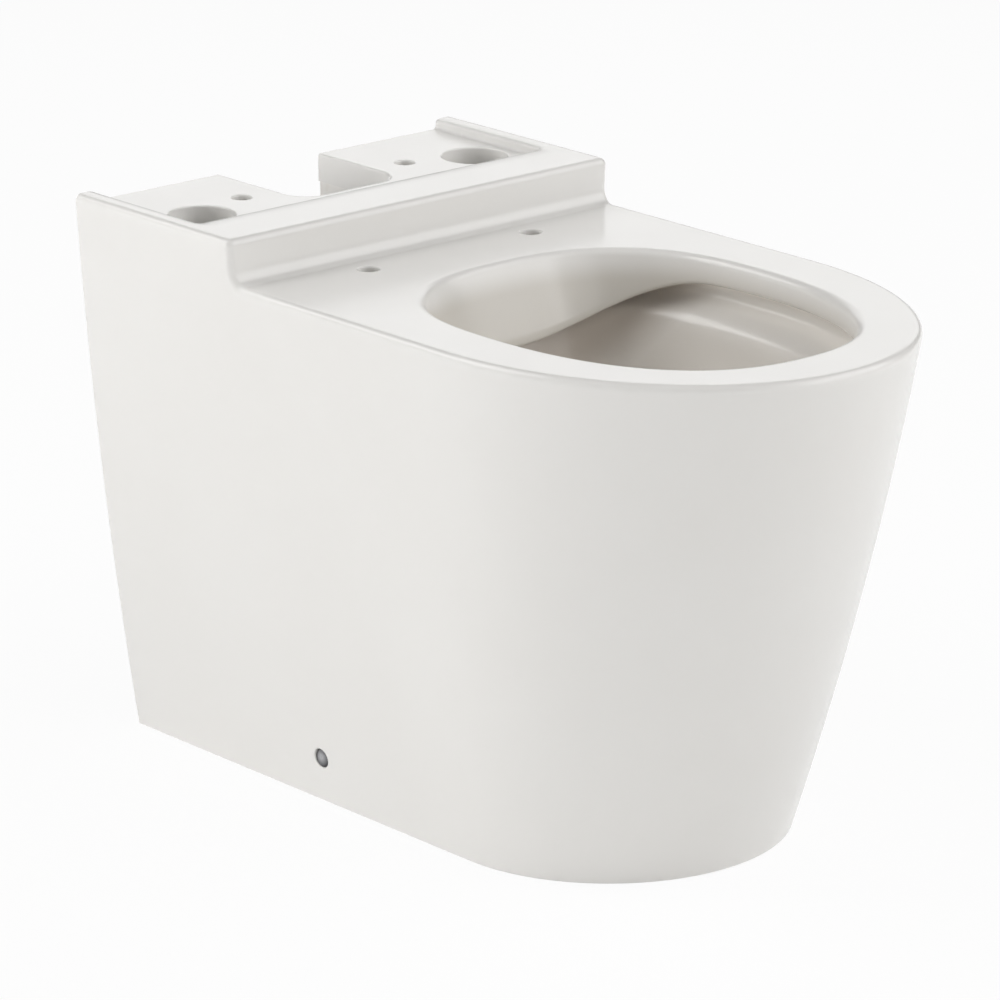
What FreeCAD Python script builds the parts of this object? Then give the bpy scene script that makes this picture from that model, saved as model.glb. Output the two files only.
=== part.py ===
import FreeCAD, Part
import math
import os
import re

import Sketcher

# Back to wall toilet pan: the china pan with its outlet connector, flush inlet seal and side fixing set.
# Millimetres, +Z up, the pan's front towards -Y and the wall behind it towards +Y. The origin is on the
# floor, midway along the pan's length and width. "From the wall" is a distance forward of the back face.

Vector = FreeCAD.Vector

SIZES = {
    # Outer form of the skirt and rim
    "length": 640.0,
    "width": 375.0,
    "rim_height": 400.0,
    "ledge_rise": 34.0,
    "foot_inset": 49.5,
    "side_bow": 5.5,
    "front_bow": 7.5,
    "skirt_wall": 12.0,
    # Rim deck and the bowl's opening
    "deck_thickness": 20.0,
    "edge_round": 5.0,
    "opening_round": 7.0,
    "side_rim": 56.5,
    "front_rim": 52.0,
    "seat_land": 81.0,
    "seat_bolt_spacing": 160.0,
    "seat_bolt_from_ledge": 30.0,
    "seat_bolt_bore": 16.0,
    "hole_ease": 1.5,
    # Cistern shelf
    "ledge_front": 183.0,
    "ledge_depth": 57.0,
    "ledge_cove": 11.0,
    "seam_land": 1.0,
    "recess_drop": 8.0,
    "recess_corner": 10.0,
    "upstand": 20.0,
    "slab": 22.0,
    "shelf_wall": 12.0,
    "notch_width": 98.0,
    "notch_depth": 100.0,
    "notch_corner": 22.0,
    "cistern_bolt_from_wall": 66.0,
    "cistern_bolt_bore": 15.0,
    "access_edge": 5.5,
    "access_from_wall": 86.0,
    "web_thickness": 12.0,
    "web_drop": 104.0,
    "web_setback": 2.0,
    # Flush apron, bowl and flush way
    "apron_drop": 40.0,
    "apron_reach": 24.0,
    "apron_side_lean": 3.0,
    "apron_thickness": 9.0,
    "apron_climb": 50.0,
    "bowl_undercut": 12.0,
    "bowl_wall": 10.0,
    "flush_gap": 15.0,
    "slot_width": 120.0,
    "slot_depth": 24.0,
    "slot_head": 2.0,
    "chamber_width": 160.0,
    "chamber_wall": 10.0,
    "chamber_depth": 16.0,
    "chamber_reach": 62.0,
    "inlet_bore": 55.0,
    "inlet_wall": 9.0,
    "inlet_head_gap": 3.5,
    "inlet_end": 95.0,
    # Water trap and outlet
    "trap_wall": 10.0,
    "trap_floor_gap": 6.0,
    "bend_throat": 5.0,
    "weir_rise": 20.0,
    "spigot_wall": 11.0,
    "outlet_end": 70.0,
    # Flush inlet seal, outlet connector and outlet seal
    "inlet_seal_bore": 44.0,
    "inlet_seal_depth": 25.0,
    "inlet_seal_flange": 5.0,
    "inlet_seal_lip": 4.0,
    "seat_gap": 0.05,
    "outlet_seal_wall": 7.4,
    "outlet_seal_length": 34.0,
    "outlet_seal_groove": 3.0,
    "outlet_seal_fin": 4.0,
    "connector_wall": 3.5,
    "connector_lip": 4.0,
    "connector_lip_catch": 2.4,
    "connector_grip": 42.0,
    "connector_stop": 6.0,
    "connector_tail_step": 4.0,
    "connector_wall_gap": 2.0,
    # Side fixing set
    "side_fix_from_wall": 229.0,
    "side_fix_height": 36.0,
    "side_fix_bore": 15.0,
    "fix_clearance": 0.3,
    "cap_recess": 1.4,
    "cap_crown": 0.5,
    "cap_rim": 2.0,
    "cap_stem_diameter": 10.8,
    "cap_stem_length": 3.0,
    "bush_floor": 3.4,
    "bush_length": 10.2,
    "screw_diameter": 6.0,
    "screw_head_diameter": 10.0,
    "screw_head_height": 3.2,
    "screw_key": 4.0,
    "screw_key_depth": 1.8,
    "screw_tail": 5.0,
    "nut_flats": 10.0,
    "nut_height": 5.0,
    "bracket_gap": 4.0,
    "bracket_thickness": 4.0,
    "bracket_width": 36.0,
    "bracket_foot": 42.0,
    "bracket_head": 22.0,
    "bracket_bend": 4.0,
    "bracket_bore": 9.0,
    "bracket_bore_edge": 16.0,
}

DERIVED = {
    "rear_y": "length / 2",
    "ledge_height": "rim_height + ledge_rise",
    "rim_full": "rim_height - edge_round",
    "ledge_full": "ledge_height - edge_round",
    "foot_setback": "length * 0.178",
    "nose_depth_rim": "length * 0.353",
    "nose_depth_foot": "length * 0.211",
    "foot_length": "length - foot_setback",
    "foot_width": "width - 2 * foot_inset",
    "deck_bottom": "rim_height - deck_thickness",
    "shelf_top": "ledge_height - recess_drop",
    "slab_bottom": "shelf_top - slab",
    "seam": "ledge_front + ledge_cove + seam_land",
    "shelf_front_wall": "ledge_front - shelf_wall",
    "recess_front": "ledge_front - ledge_depth",
    "recess_half": "width / 2 - upstand",
    "seat_bolt_from_wall": "ledge_front + seat_bolt_from_ledge",
    "cistern_bolt_spacing": "width * 0.432",
    "access_bore": "recess_half * 0.31",
    "access_x": "recess_half - access_edge - access_bore / 2",
    "opening_rear": "ledge_front + seat_land",
    "opening_front": "length - front_rim",
    "opening_half": "width / 2 - side_rim",
    "opening_length": "opening_front - opening_rear",
    "opening_widest": "opening_rear + opening_length * 0.435",
    "apron_bottom": "deck_bottom - apron_drop",
    "rim_lean": "apron_reach / (deck_thickness + apron_drop)",
    "rim_side_lean": "apron_side_lean / (deck_thickness + apron_drop)",
    "bowl_rear": "opening_rear + rim_lean * deck_thickness - apron_thickness - flush_gap",
    "bowl_half": "opening_half + bowl_undercut",
    "bowl_front": "opening_front + bowl_undercut",
    "slot_top": "deck_bottom - slot_head",
    "sump_from_wall": "opening_rear + opening_length / 4",
    "trap_bore": "rim_height / 5",
    "bend_radius": "trap_bore / 2 + trap_wall + bend_throat",
    "sump_height": "trap_floor_gap + trap_wall + trap_bore / 2 + bend_radius",
    "weir_height": "sump_height + weir_rise",
    "outlet_height": "weir_height + bend_radius",
    "bend_from_wall": "sump_from_wall - bend_radius",
    "spigot_start": "sump_from_wall - 3 * bend_radius",
    "inlet_height": "deck_bottom - inlet_head_gap - inlet_wall - inlet_bore / 2",
    "chamber_back": "bowl_rear - bowl_wall - chamber_depth",
    "chamber_floor": "inlet_height - inlet_bore / 2 - chamber_wall",
    "outlet_diameter": "trap_bore + 2 * spigot_wall",
    "outlet_seal_inner": "outlet_diameter / 2 + seat_gap",
    "outlet_seal_outer": "outlet_seal_inner + outlet_seal_wall",
    "socket_inner": "outlet_seal_outer + seat_gap",
    "socket_outer": "socket_inner + connector_wall",
    "connector_length": "outlet_end + connector_grip - connector_wall_gap",
    "socket_length": "connector_grip + connector_stop",
    "tail_outer": "outlet_diameter / 2 + connector_tail_step",
    "fix_rise": "side_fix_height / ledge_full",
    "side_fix_x": "foot_width / 2 + foot_inset * fix_rise + 4 * side_bow * fix_rise * (1 - fix_rise)",
    "bracket_face": "foot_width / 2 - skirt_wall - bracket_gap",
    "cap_head_end": "cap_recess + cap_rim",
    "cap_stem_end": "cap_head_end + cap_stem_length",
    "bush_start": "cap_head_end + fix_clearance",
    "bush_end": "bush_start + bush_length",
    "bush_seat": "bush_end - bush_floor",
    "bracket_depth": "side_fix_x - bracket_face",
    "nut_start": "bracket_depth + bracket_thickness",
    "screw_end": "nut_start + nut_height + screw_tail",
}

# The bowl's inner wall from the sump up: height, then how far the sides, the back and the front have
# spread, each as a fraction of the way from the sump's outlet to the top of the bowl. The last three
# rows are the water shelf and the undercut below the rim.
BOWL_SPREAD = (
    (0.000, 0.000, 0.000, 0.000),
    (0.148, 0.090, 0.035, 0.140),
    (0.333, 0.280, 0.140, 0.410),
    (0.519, 0.460, 0.316, 0.637),
    (0.704, 0.620, 0.580, 0.811),
    (0.852, 0.750, 0.840, 0.925),
    (0.911, 0.840, 0.930, 0.967),
    (0.948, 1.000, 0.980, 1.000),
    (1.000, 1.000, 1.000, 1.000),
)
BACK_POWER = 2.55
FRONT_POWER = 2.35
ROUND_POWER = 2.0
EGG_POINTS = 48
WALL_LEVELS = 5
# How far a cutting shape runs past the face it cuts, and how close two places are to count as one.
PAST = 5.0
TOUCH = 0.01

document = FreeCAD.newDocument("back_to_wall_pan")
sheet = document.addObject("Spreadsheet::Sheet", "sizes")
CELLS = {**{name: str(number) for name, number in SIZES.items()},
         **{name: "=" + formula for name, formula in DERIVED.items()}}
for row, (name, content) in enumerate(CELLS.items(), start=1):
    sheet.set(f"A{row}", name)
    sheet.set(f"B{row}", content)
    sheet.setAlias(f"B{row}", name)
document.recompute()

parts = []


def bound(formula):
    """The formula with each size's name pointing at its cell in the sheet."""
    return re.sub(r"[a-z_]+", lambda word: "sizes." + word[0] if word[0] in CELLS else word[0], formula)


def size(formula):
    """The number that a size, or a formula of sizes, comes to."""
    return float(sheet.evalExpression(bound(formula)))


def bind(item, **formulas):
    """Ties properties of an object to the sheet."""
    for name, formula in formulas.items():
        item.setExpression(name, bound(formula))
    return item


def put(item, place, turn=None):
    """Places an object by three formulas, and turns it."""
    item.Placement = FreeCAD.Placement(Vector(), turn or FreeCAD.Rotation())
    for axis, formula in zip("xyz", place):
        item.setExpression("Placement.Base." + axis, bound(formula))
    return item


def keep(item, label):
    """Marks an object as a finished piece; its label names its file."""
    item.Label = label
    parts.append(item)
    return item


def solid_feature(name, shape):
    """A piece of freeform china, whose shape is worked out from the sheet."""
    feature = document.addObject("Part::Feature", name)
    feature.Shape = shape
    feature.Placement = FreeCAD.Placement()
    return feature


def boolean(kind, name, base, tool):
    """A cut or a common of two objects."""
    item = document.addObject("Part::" + kind, name)
    item.Base = base
    item.Tool = tool
    return item


def joined(name, shapes):
    """Several objects as one tool."""
    item = document.addObject("Part::MultiFuse", name)
    item.Shapes = shapes
    return item


def block(name, across, deep, tall, place):
    """A box, centred across, running from its place towards the wall and up."""
    item = document.addObject("Part::Box", name)
    bind(item, Length=across, Width=deep, Height=tall)
    return put(item, (f"{place[0]} - ({across}) / 2", place[1], place[2]))


def drill(name, diameter, tall, place, turn=None):
    """A round bar, for a hole."""
    item = document.addObject("Part::Cylinder", name)
    bind(item, Radius=f"({diameter}) / 2", Height=tall)
    return put(item, place, turn)


def mirrored(source, name):
    """The same piece on the pan's other side."""
    item = document.addObject("Part::Mirroring", name)
    item.Source = source
    item.Normal = Vector(1, 0, 0)
    return item


def pair(source, label):
    """A left and a right copy as one group of separate solids."""
    item = document.addObject("Part::Compound", label)
    item.Links = [source, mirrored(source, source.Name + "_right")]
    return keep(item, label)


def outline(body, plane, corners):
    """A closed sketch of straight lines on one of the body's own planes; a corner is a pair of formulas."""
    sketch = body.newObject("Sketcher::SketchObject", body.Name + "_outline")
    sketch.AttachmentSupport = [(own_plane(body, plane), "")]
    sketch.MapMode = "FlatFace"
    points = [Vector(size(x), size(y), 0) for x, y in corners]
    following = points[1:] + points[:1]
    for start, end in zip(points, following):
        sketch.addGeometry(Part.LineSegment(start, end))
    for line in range(len(points)):
        sketch.addConstraint(Sketcher.Constraint("Coincident", line, 2, (line + 1) % len(points), 1))
    for line, corner in enumerate(corners):
        for kind, axis, formula in zip(("DistanceX", "DistanceY"), (-2, -1), corner):
            if formula == "0":
                sketch.addConstraint(Sketcher.Constraint("PointOnObject", line, 1, axis))
            else:
                number = sketch.addConstraint(Sketcher.Constraint(kind, -1, 1, line, 1, size(formula)))
                sketch.setExpression(f"Constraints[{number}]", bound(formula))
    return sketch


def own_plane(body, role):
    """One of the body's origin planes."""
    return next(item for item in body.Origin.OriginFeatures if item.Role == role)


def circle(sketch, diameter, across="0", along="0"):
    """Adds a circle to a sketch, its size and place tied to the sheet."""
    centre = Vector(size(across), size(along), 0)
    number = sketch.addGeometry(Part.Circle(centre, Vector(0, 0, 1), size(diameter) / 2))
    for kind, axis, formula in zip(("DistanceX", "DistanceY"), (-2, -1), (across, along)):
        if formula == "0":
            sketch.addConstraint(Sketcher.Constraint("PointOnObject", number, 3, axis))
        else:
            held = sketch.addConstraint(Sketcher.Constraint(kind, -1, 1, number, 3, size(formula)))
            sketch.setExpression(f"Constraints[{held}]", bound(formula))
    held = sketch.addConstraint(Sketcher.Constraint("Diameter", number, size(diameter)))
    sketch.setExpression(f"Constraints[{held}]", bound(diameter))


def blank_sketch(body, name, plane):
    """An empty sketch on one of the body's own planes."""
    sketch = body.newObject("Sketcher::SketchObject", name)
    sketch.AttachmentSupport = [(own_plane(body, plane), "")]
    sketch.MapMode = "FlatFace"
    return sketch


def turned(name, corners, place, turn):
    """A turned body; corners are pairs of radius and distance along its axis."""
    body = document.addObject("PartDesign::Body", name)
    revolution = body.newObject("PartDesign::Revolution", name + "_turned")
    revolution.Profile = outline(body, "XZ_Plane", corners)
    revolution.ReferenceAxis = (revolution.Profile[0], ["V_Axis"])
    revolution.Angle = 360.0
    return put(body, place, turn)


def tube(name, bore, outside, long, place, turn):
    """A plain turned tube; bore and outside are diameters."""
    inner = f"({bore}) / 2"
    outer = f"({outside}) / 2"
    return turned(name, [(inner, "0"), (outer, "0"), (outer, long), (inner, long)], place, turn)


TOWARDS_WALL = FreeCAD.Rotation(Vector(1, 0, 0), -90)
INTO_LEFT_SIDE = FreeCAD.Rotation(Vector(0, 1, 0), 90)


# Outer form: straight drafted sides and a half-ellipse nose, both bowed out a little between foot and rim.
# It is widest and longest where the rounding of the upper edges begins.

def half_width(height):
    rise = height / size("ledge_full")
    straight = size("foot_width") / 2 + size("foot_inset") * rise
    return straight + 4 * size("side_bow") * rise * (1 - rise)


def front_reach(height):
    rise = height / size("rim_full")
    straight = size("foot_length") + size("foot_setback") * rise
    return straight + 4 * size("front_bow") * rise * (1 - rise)


def nose_start(height):
    rise = height / size("rim_full")
    at_foot = size("foot_length - nose_depth_foot")
    return at_foot + (size("length - nose_depth_rim") - at_foot) * rise


def quarter(start, corner, end):
    """A quarter of an ellipse, tangent to the two sides of its corner."""
    curve = Part.BezierCurve()
    curve.setPoles([start, corner, end])
    curve.setWeight(2, math.sqrt(0.5))
    return curve.toShape()


def pan_outline(height, inset=0.0, behind=0.0):
    """The pan's outline at a height, drawn in by inset and run past the back face by behind."""
    half = half_width(height) - inset
    front = front_reach(height) - inset
    nose = nose_start(height)

    def point(x, from_wall):
        return Vector(x, size("rear_y") - from_wall, height)

    return Part.Wire([
        Part.makeLine(point(-half, -behind), point(half, -behind)),
        Part.makeLine(point(half, -behind), point(half, nose)),
        quarter(point(half, nose), point(half, front), point(0, front)),
        quarter(point(0, front), point(-half, front), point(-half, nose)),
        Part.makeLine(point(-half, nose), point(-half, -behind)),
    ])


def pan_form(bottom, top, inset=0.0, behind=0.0):
    """The outer form between two heights, as a solid."""
    heights = [bottom + (top - bottom) * step / (WALL_LEVELS - 1) for step in range(WALL_LEVELS)]
    return Part.makeLoft([pan_outline(height, inset, behind) for height in heights], True, False)


def slice_box(front, back, bottom, top):
    """A box as wide as the pan and more, between two distances from the wall and two heights."""
    corner = Vector(-size("width"), size("rear_y") - front, bottom)
    return Part.makeBox(2 * size("width"), front - back, top - bottom, corner)


def side_prism(profile):
    """A side view, drawn as wall distances and heights, run right across the pan."""
    wire = Part.Wire(profile)
    prism = Part.Face(wire).extrude(Vector(2 * size("width"), 0, 0))
    prism.translate(Vector(-size("width"), 0, 0))
    return prism


def side_point(from_wall, height):
    return Vector(0, size("rear_y") - from_wall, height)


def side_lines(corners):
    """Straight lines of a side view, corner to corner."""
    points = [side_point(*corner) for corner in corners]
    return [Part.makeLine(start, end) for start, end in zip(points, points[1:])]


# Egg-shaped sections of the bowl: each half a superellipse about the widest place, in two lengths that
# meet at the widest points.

def egg(height, half, rear, widest, front, back_power=BACK_POWER, front_power=FRONT_POWER):
    points = []
    for step in range(EGG_POINTS):
        angle = 2 * math.pi * step / EGG_POINTS
        across = math.cos(angle)
        along = math.sin(angle)
        power = front_power if along >= 0 else back_power
        reach = front - widest if along >= 0 else widest - rear
        x = half * math.copysign(abs(across) ** (2 / power), across)
        from_wall = widest + reach * math.copysign(abs(along) ** (2 / power), along)
        points.append(Vector(x, size("rear_y") - from_wall, height))
    curve = Part.BSplineCurve()
    curve.interpolate(points, PeriodicFlag=True)
    half_way = curve.parameter(points[EGG_POINTS // 2])
    ahead = curve.toShape(curve.FirstParameter, half_way)
    behind = curve.toShape(half_way, curve.LastParameter)
    return Part.Wire([ahead, behind])


def well_egg(height, outward=0.0):
    """The bowl's opening, and below the rim the apron's face, which leans forward at the back."""
    depth = size("rim_height") - height
    half = size("opening_half") - size("rim_side_lean") * depth + outward
    rear = size("opening_rear") + size("rim_lean") * depth - outward
    front = size("opening_front") - size("rim_side_lean") * depth + outward
    return egg(height, half, rear, size("opening_widest"), front)


def well(bottom, top, outward=0.0):
    heights = (bottom, (bottom + top) / 2, top)
    return Part.makeLoft([well_egg(height, outward) for height in heights], True, False)


def bowl_form(outward=0.0):
    """The bowl as a solid, its inner face moved outward by a wall."""
    sump = size("sump_from_wall")
    outlet = size("trap_bore / 2")
    sections = []
    for rise, side, back, ahead in BOWL_SPREAD:
        height = size("sump_height") + (size("deck_bottom") - size("sump_height")) * rise
        half = outlet + (size("bowl_half") - outlet) * side + outward
        rear = sump - outlet - (sump - outlet - size("bowl_rear")) * back - outward
        front = sump + outlet + (size("bowl_front") - sump - outlet) * ahead + outward
        widest = sump + (size("opening_widest") - sump) * side
        back_power = ROUND_POWER + (BACK_POWER - ROUND_POWER) * side
        front_power = ROUND_POWER + (FRONT_POWER - ROUND_POWER) * side
        sections.append(egg(height, half, rear, widest, front, back_power, front_power))
    return Part.makeLoft(sections, True, False)


def rounded(shape, radius, wanted):
    """Rounds the edges that pass a test."""
    return shape.makeFillet(radius, [edge for edge in shape.Edges if wanted(edge)])


def level(edge, height):
    """Whether an edge lies at a height."""
    box = edge.BoundBox
    return abs(box.ZMin - height) < TOUCH and abs(box.ZMax - height) < TOUCH


# Skirt: the outer wall, open at the floor, the top and the back, with a fixing hole low on each side.

skirt = pan_form(0.0, size("deck_bottom"), behind=PAST)
skirt = skirt.common(slice_box(size("length") + PAST, 0.0, 0.0, size("deck_bottom")))
skirt = skirt.cut(pan_form(-PAST, size("deck_bottom") + PAST, size("skirt_wall"), 2 * PAST))
side_holes = drill("side_fix_holes", "side_fix_bore", "2 * width",
                   ("-width", "rear_y - side_fix_from_wall", "side_fix_height"), INTO_LEFT_SIDE)
keep(boolean("Cut", "skirt", solid_feature("skirt_blank", skirt), side_holes), "skirt_shell")


# Rim deck: the flat rim in front of the ledge, with the bowl's opening and the seat's hinge holes.

def deck_shape():
    rim = size("rim_height")
    bottom = size("deck_bottom")
    inside = size("opening_half + opening_round")

    def outer_edge(edge):
        return level(edge, rim) and edge.BoundBox.YLength > TOUCH

    def opening_edge(edge):
        box = edge.BoundBox
        return level(edge, rim) and box.XMin > -inside and box.XMax < inside

    deck = pan_form(bottom, rim).common(slice_box(size("length") + PAST, size("seam"), 0.0, rim + PAST))
    deck = rounded(deck, size("edge_round"), outer_edge)
    deck = deck.cut(well(bottom - PAST, rim + PAST))
    return rounded(deck, size("opening_round"), opening_edge)


def eased_hole(name, bore, x, from_wall, top, deep):
    """A vertical hole with its upper edge eased."""
    y = f"rear_y - ({from_wall})"
    hole = drill(name, bore, f"2 * ({deep})", (x, y, f"{top} - 2 * ({deep})"))
    ease = document.addObject("Part::Cone", name + "_ease")
    bind(ease, Radius1=f"{bore} / 2", Radius2=f"{bore} / 2 + hole_ease", Height="hole_ease")
    put(ease, (x, y, f"{top} - hole_ease"))
    return [hole, ease]


seat_holes = []
for side, sign in (("left", "-"), ("right", "")):
    seat_holes += eased_hole("seat_hole_" + side, "seat_bolt_bore", f"{sign}seat_bolt_spacing / 2",
                             "seat_bolt_from_wall", "rim_height", "deck_thickness")
keep(boolean("Cut", "deck", solid_feature("deck_blank", deck_shape()), joined("seat_holes", seat_holes)),
     "rim_deck")


# Cistern shelf: ledge with its coved foot, side upstands, recessed shelf with notch, bolt and access holes.

def shelf_shape():
    rim = size("rim_height")
    top = size("ledge_height")
    front = size("ledge_front")
    cove = size("ledge_cove")
    seam = size("seam")
    bottom = size("deck_bottom")
    shelf = pan_form(bottom, top, behind=PAST).common(slice_box(seam, 0.0, 0.0, top + PAST))
    cove_middle = side_point(front + cove * (1 - math.sqrt(0.5)), rim + cove * (1 - math.sqrt(0.5)))
    step = side_lines([(front, top + PAST), (front, rim + cove)])
    cove_arc = Part.Arc(side_point(front, rim + cove), cove_middle, side_point(front + cove, rim))
    step.append(cove_arc.toShape())
    step += side_lines([(front + cove, rim), (seam + PAST, rim), (seam + PAST, top + PAST),
                        (front, top + PAST)])
    shelf = shelf.cut(side_prism(step))
    hollow = pan_form(bottom - PAST, size("slab_bottom"), size("shelf_wall"), 2 * PAST)
    shelf = shelf.cut(hollow.common(slice_box(size("shelf_front_wall"), -PAST, 0.0, top)))

    def outer_edge(edge):
        box = edge.BoundBox
        off_seam = box.YMax > size("rear_y - seam") + TOUCH
        off_back = box.YMin < size("rear_y") - TOUCH
        on_side = box.XLength < size("upstand") and abs(edge.CenterOfMass.x) > size("recess_half")
        ledge_top = level(edge, top) and box.YLength < TOUCH
        return box.ZMin > rim - TOUCH and off_seam and off_back and (on_side or ledge_top)

    return rounded(shelf, size("edge_round"), outer_edge)


def rounded_slot(name, across, deep, corner, bottom, top):
    """A slot in from the back face, its two front corners rounded."""
    tall = f"({top}) - ({bottom})"
    front = f"rear_y - {deep}"
    corner_line = f"rear_y - {deep} + {corner}"
    corner_x = f"(({across}) / 2 - {corner})"
    wide = block(name + "_wide", across, f"{deep} - {corner} + slab", tall, ("0", corner_line, bottom))
    long = block(name + "_long", f"{across} - 2 * {corner}", f"{deep} + slab", tall, ("0", front, bottom))
    shapes = [wide, long]
    for side, sign in (("left", "-"), ("right", "")):
        shapes.append(drill(f"{name}_corner_{side}", f"2 * {corner}", tall,
                            (sign + corner_x, corner_line, bottom)))
    return joined(name, shapes)


shelf_cuts = [
    rounded_slot("recess", "2 * recess_half", "recess_front", "recess_corner", "shelf_top",
                 "ledge_height + slab"),
    rounded_slot("notch", "notch_width", "notch_depth", "notch_corner", "deck_bottom",
                 "ledge_height + slab"),
]
for side, sign in (("left", "-"), ("right", "")):
    shelf_cuts += eased_hole("cistern_hole_" + side, "cistern_bolt_bore", f"{sign}cistern_bolt_spacing / 2",
                             "cistern_bolt_from_wall", "shelf_top", "slab")
    shelf_cuts += eased_hole("access_hole_" + side, "access_bore", f"{sign}access_x", "access_from_wall",
                             "shelf_top", "slab")
keep(boolean("Cut", "shelf", solid_feature("shelf_blank", shelf_shape()), joined("shelf_cuts", shelf_cuts)),
     "cistern_shelf")

web = block("shelf_web", "web_thickness", "shelf_front_wall - web_setback", "web_drop",
            ("-(notch_width + web_thickness) / 2", "rear_y - shelf_front_wall", "slab_bottom - web_drop"))
keep(web, "shelf_web_left")
keep(mirrored(web, "shelf_web_other"), "shelf_web_right")


# Flush apron: hangs from the deck round the back of the opening, its lower edge climbing to both sides.

def apron_shape():
    top = size("deck_bottom")
    bottom = size("apron_bottom")
    drop = size("apron_drop")
    ring = well(bottom, top, size("apron_thickness")).cut(well(bottom, top))
    low_edge = size("opening_rear + apron_reach")
    climb = size("apron_climb")
    back = size("bowl_rear") - PAST
    kept = side_lines([(back, top), (low_edge + climb, top), (low_edge, bottom), (back, bottom - 2 * drop),
                       (back, top)])
    return ring.common(side_prism(kept))


keep(solid_feature("apron", apron_shape()), "flush_apron")


# Bowl: hangs below the deck, open at the sump, with the flush slot in its back wall behind the apron.

bowl_outside = solid_feature("bowl_outside", bowl_form(size("bowl_wall")))
bowl_inside = solid_feature("bowl_inside", bowl_form())
bowl_shell = boolean("Cut", "bowl_shell", bowl_outside, bowl_inside)
slot = block("flush_slot", "slot_width", "bowl_wall + chamber_depth + apron_reach", "slot_depth",
             ("0", "rear_y - bowl_rear - apron_reach", "slot_top - slot_depth"))
keep(boolean("Cut", "bowl", bowl_shell, slot), "bowl_basin")


# Flush chamber: a box of china behind the bowl, open to it at the slot and to the inlet at the back.

chamber_box = block("chamber_box", "chamber_width", "chamber_depth + chamber_reach",
                    "deck_bottom - chamber_floor",
                    ("0", "rear_y - chamber_back - chamber_depth - chamber_reach", "chamber_floor"))
chamber_room = block("chamber_room", "chamber_width - 2 * chamber_wall",
                     "chamber_depth + chamber_reach - 2 * chamber_wall",
                     "deck_bottom - chamber_floor",
                     ("0", "rear_y - chamber_back - chamber_depth - chamber_reach + chamber_wall",
                      "chamber_floor + chamber_wall"))
chamber_mouth = drill("chamber_mouth", "inlet_bore", "chamber_depth + chamber_wall",
                      ("0", "rear_y - chamber_back - chamber_depth", "inlet_height"), TOWARDS_WALL)
chamber_space = joined("chamber_space", [chamber_room, chamber_mouth, bowl_outside])
keep(boolean("Cut", "chamber", chamber_box, chamber_space), "flush_chamber")

keep(tube("inlet", "inlet_bore", "inlet_bore + 2 * inlet_wall", "chamber_back - inlet_end",
          ("0", "rear_y - chamber_back", "inlet_height"), TOWARDS_WALL), "flush_inlet")


# Water trap: three quarter bends in line below and behind the bowl, then the straight outlet.

def bend(label, place, start_side, end_side, riser=None):
    """A quarter bend of china tube from one side of its centre to another, with a straight leg if asked."""
    body = document.addObject("PartDesign::Body", label + "_body")
    ring = blank_sketch(body, label + "_ring", "XZ_Plane")
    circle(ring, "trap_bore", "bend_radius")
    circle(ring, "trap_bore + 2 * trap_wall", "bend_radius")
    sweep = body.newObject("PartDesign::Revolution", label + "_sweep")
    sweep.Profile = ring
    sweep.ReferenceAxis = (ring, ["V_Axis"])
    sweep.Angle = 90.0
    sweep.Reversed = False
    if riser:
        leg = body.newObject("PartDesign::Pad", label + "_leg")
        leg.Profile = ring
        leg.Reversed = False
        bind(leg, Length=riser)
    turn = FreeCAD.Rotation(start_side, end_side, start_side.cross(end_side), "XYZ")
    return keep(put(body, place, turn), label)


FRONT = Vector(0, -1, 0)
BACK = Vector(0, 1, 0)
DOWN = Vector(0, 0, -1)
UP = Vector(0, 0, 1)
lower_centre = ("0", "rear_y - bend_from_wall", "sump_height")
upper_centre = ("0", "rear_y - spigot_start", "weir_height")
bend("trap_dip_bend", lower_centre, FRONT, DOWN)
bend("trap_rise_bend", lower_centre, DOWN, BACK)
bend("trap_weir_bend", upper_centre, FRONT, UP, "weir_rise")
keep(tube("spigot", "trap_bore", "outlet_diameter", "spigot_start - outlet_end",
          ("0", "rear_y - spigot_start", "outlet_height"), TOWARDS_WALL), "outlet_spigot")


# Flush inlet seal: a rubber sleeve in the inlet's bore, with a flange against its mouth.

def inlet_seal():
    bore = "inlet_seal_bore / 2"
    sleeve = "inlet_bore / 2 - seat_gap"
    flange = "inlet_bore / 2 + inlet_seal_flange"
    corners = [(bore, "-inlet_seal_depth"), (sleeve, "-inlet_seal_depth"), (sleeve, "0"), (flange, "0"),
               (flange, "inlet_seal_lip"), (bore, "inlet_seal_lip")]
    return turned("inlet_seal", corners, ("0", "rear_y - inlet_end", "inlet_height"), TOWARDS_WALL)


keep(inlet_seal(), "flush_inlet_seal")


# Outlet connector: a plastic socket over the spigot, stepped down to a tail for the soil pipe, and the
# finned rubber ring that seals it on the spigot.

def connector():
    lip = "socket_inner - connector_lip_catch"
    tail_inner = "tail_outer - connector_wall"
    corners = [
        (lip, "0"), ("socket_outer", "0"), ("socket_outer", "socket_length"),
        ("tail_outer", "socket_length + connector_wall"), ("tail_outer", "connector_length"),
        (tail_inner, "connector_length"), (tail_inner, "socket_length"), ("socket_inner", "socket_length"),
        ("socket_inner", "connector_lip"), (lip, "connector_lip"),
    ]
    place = ("0", "rear_y - outlet_end - connector_grip", "outlet_height")
    return turned("connector", corners, place, TOWARDS_WALL)


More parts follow.
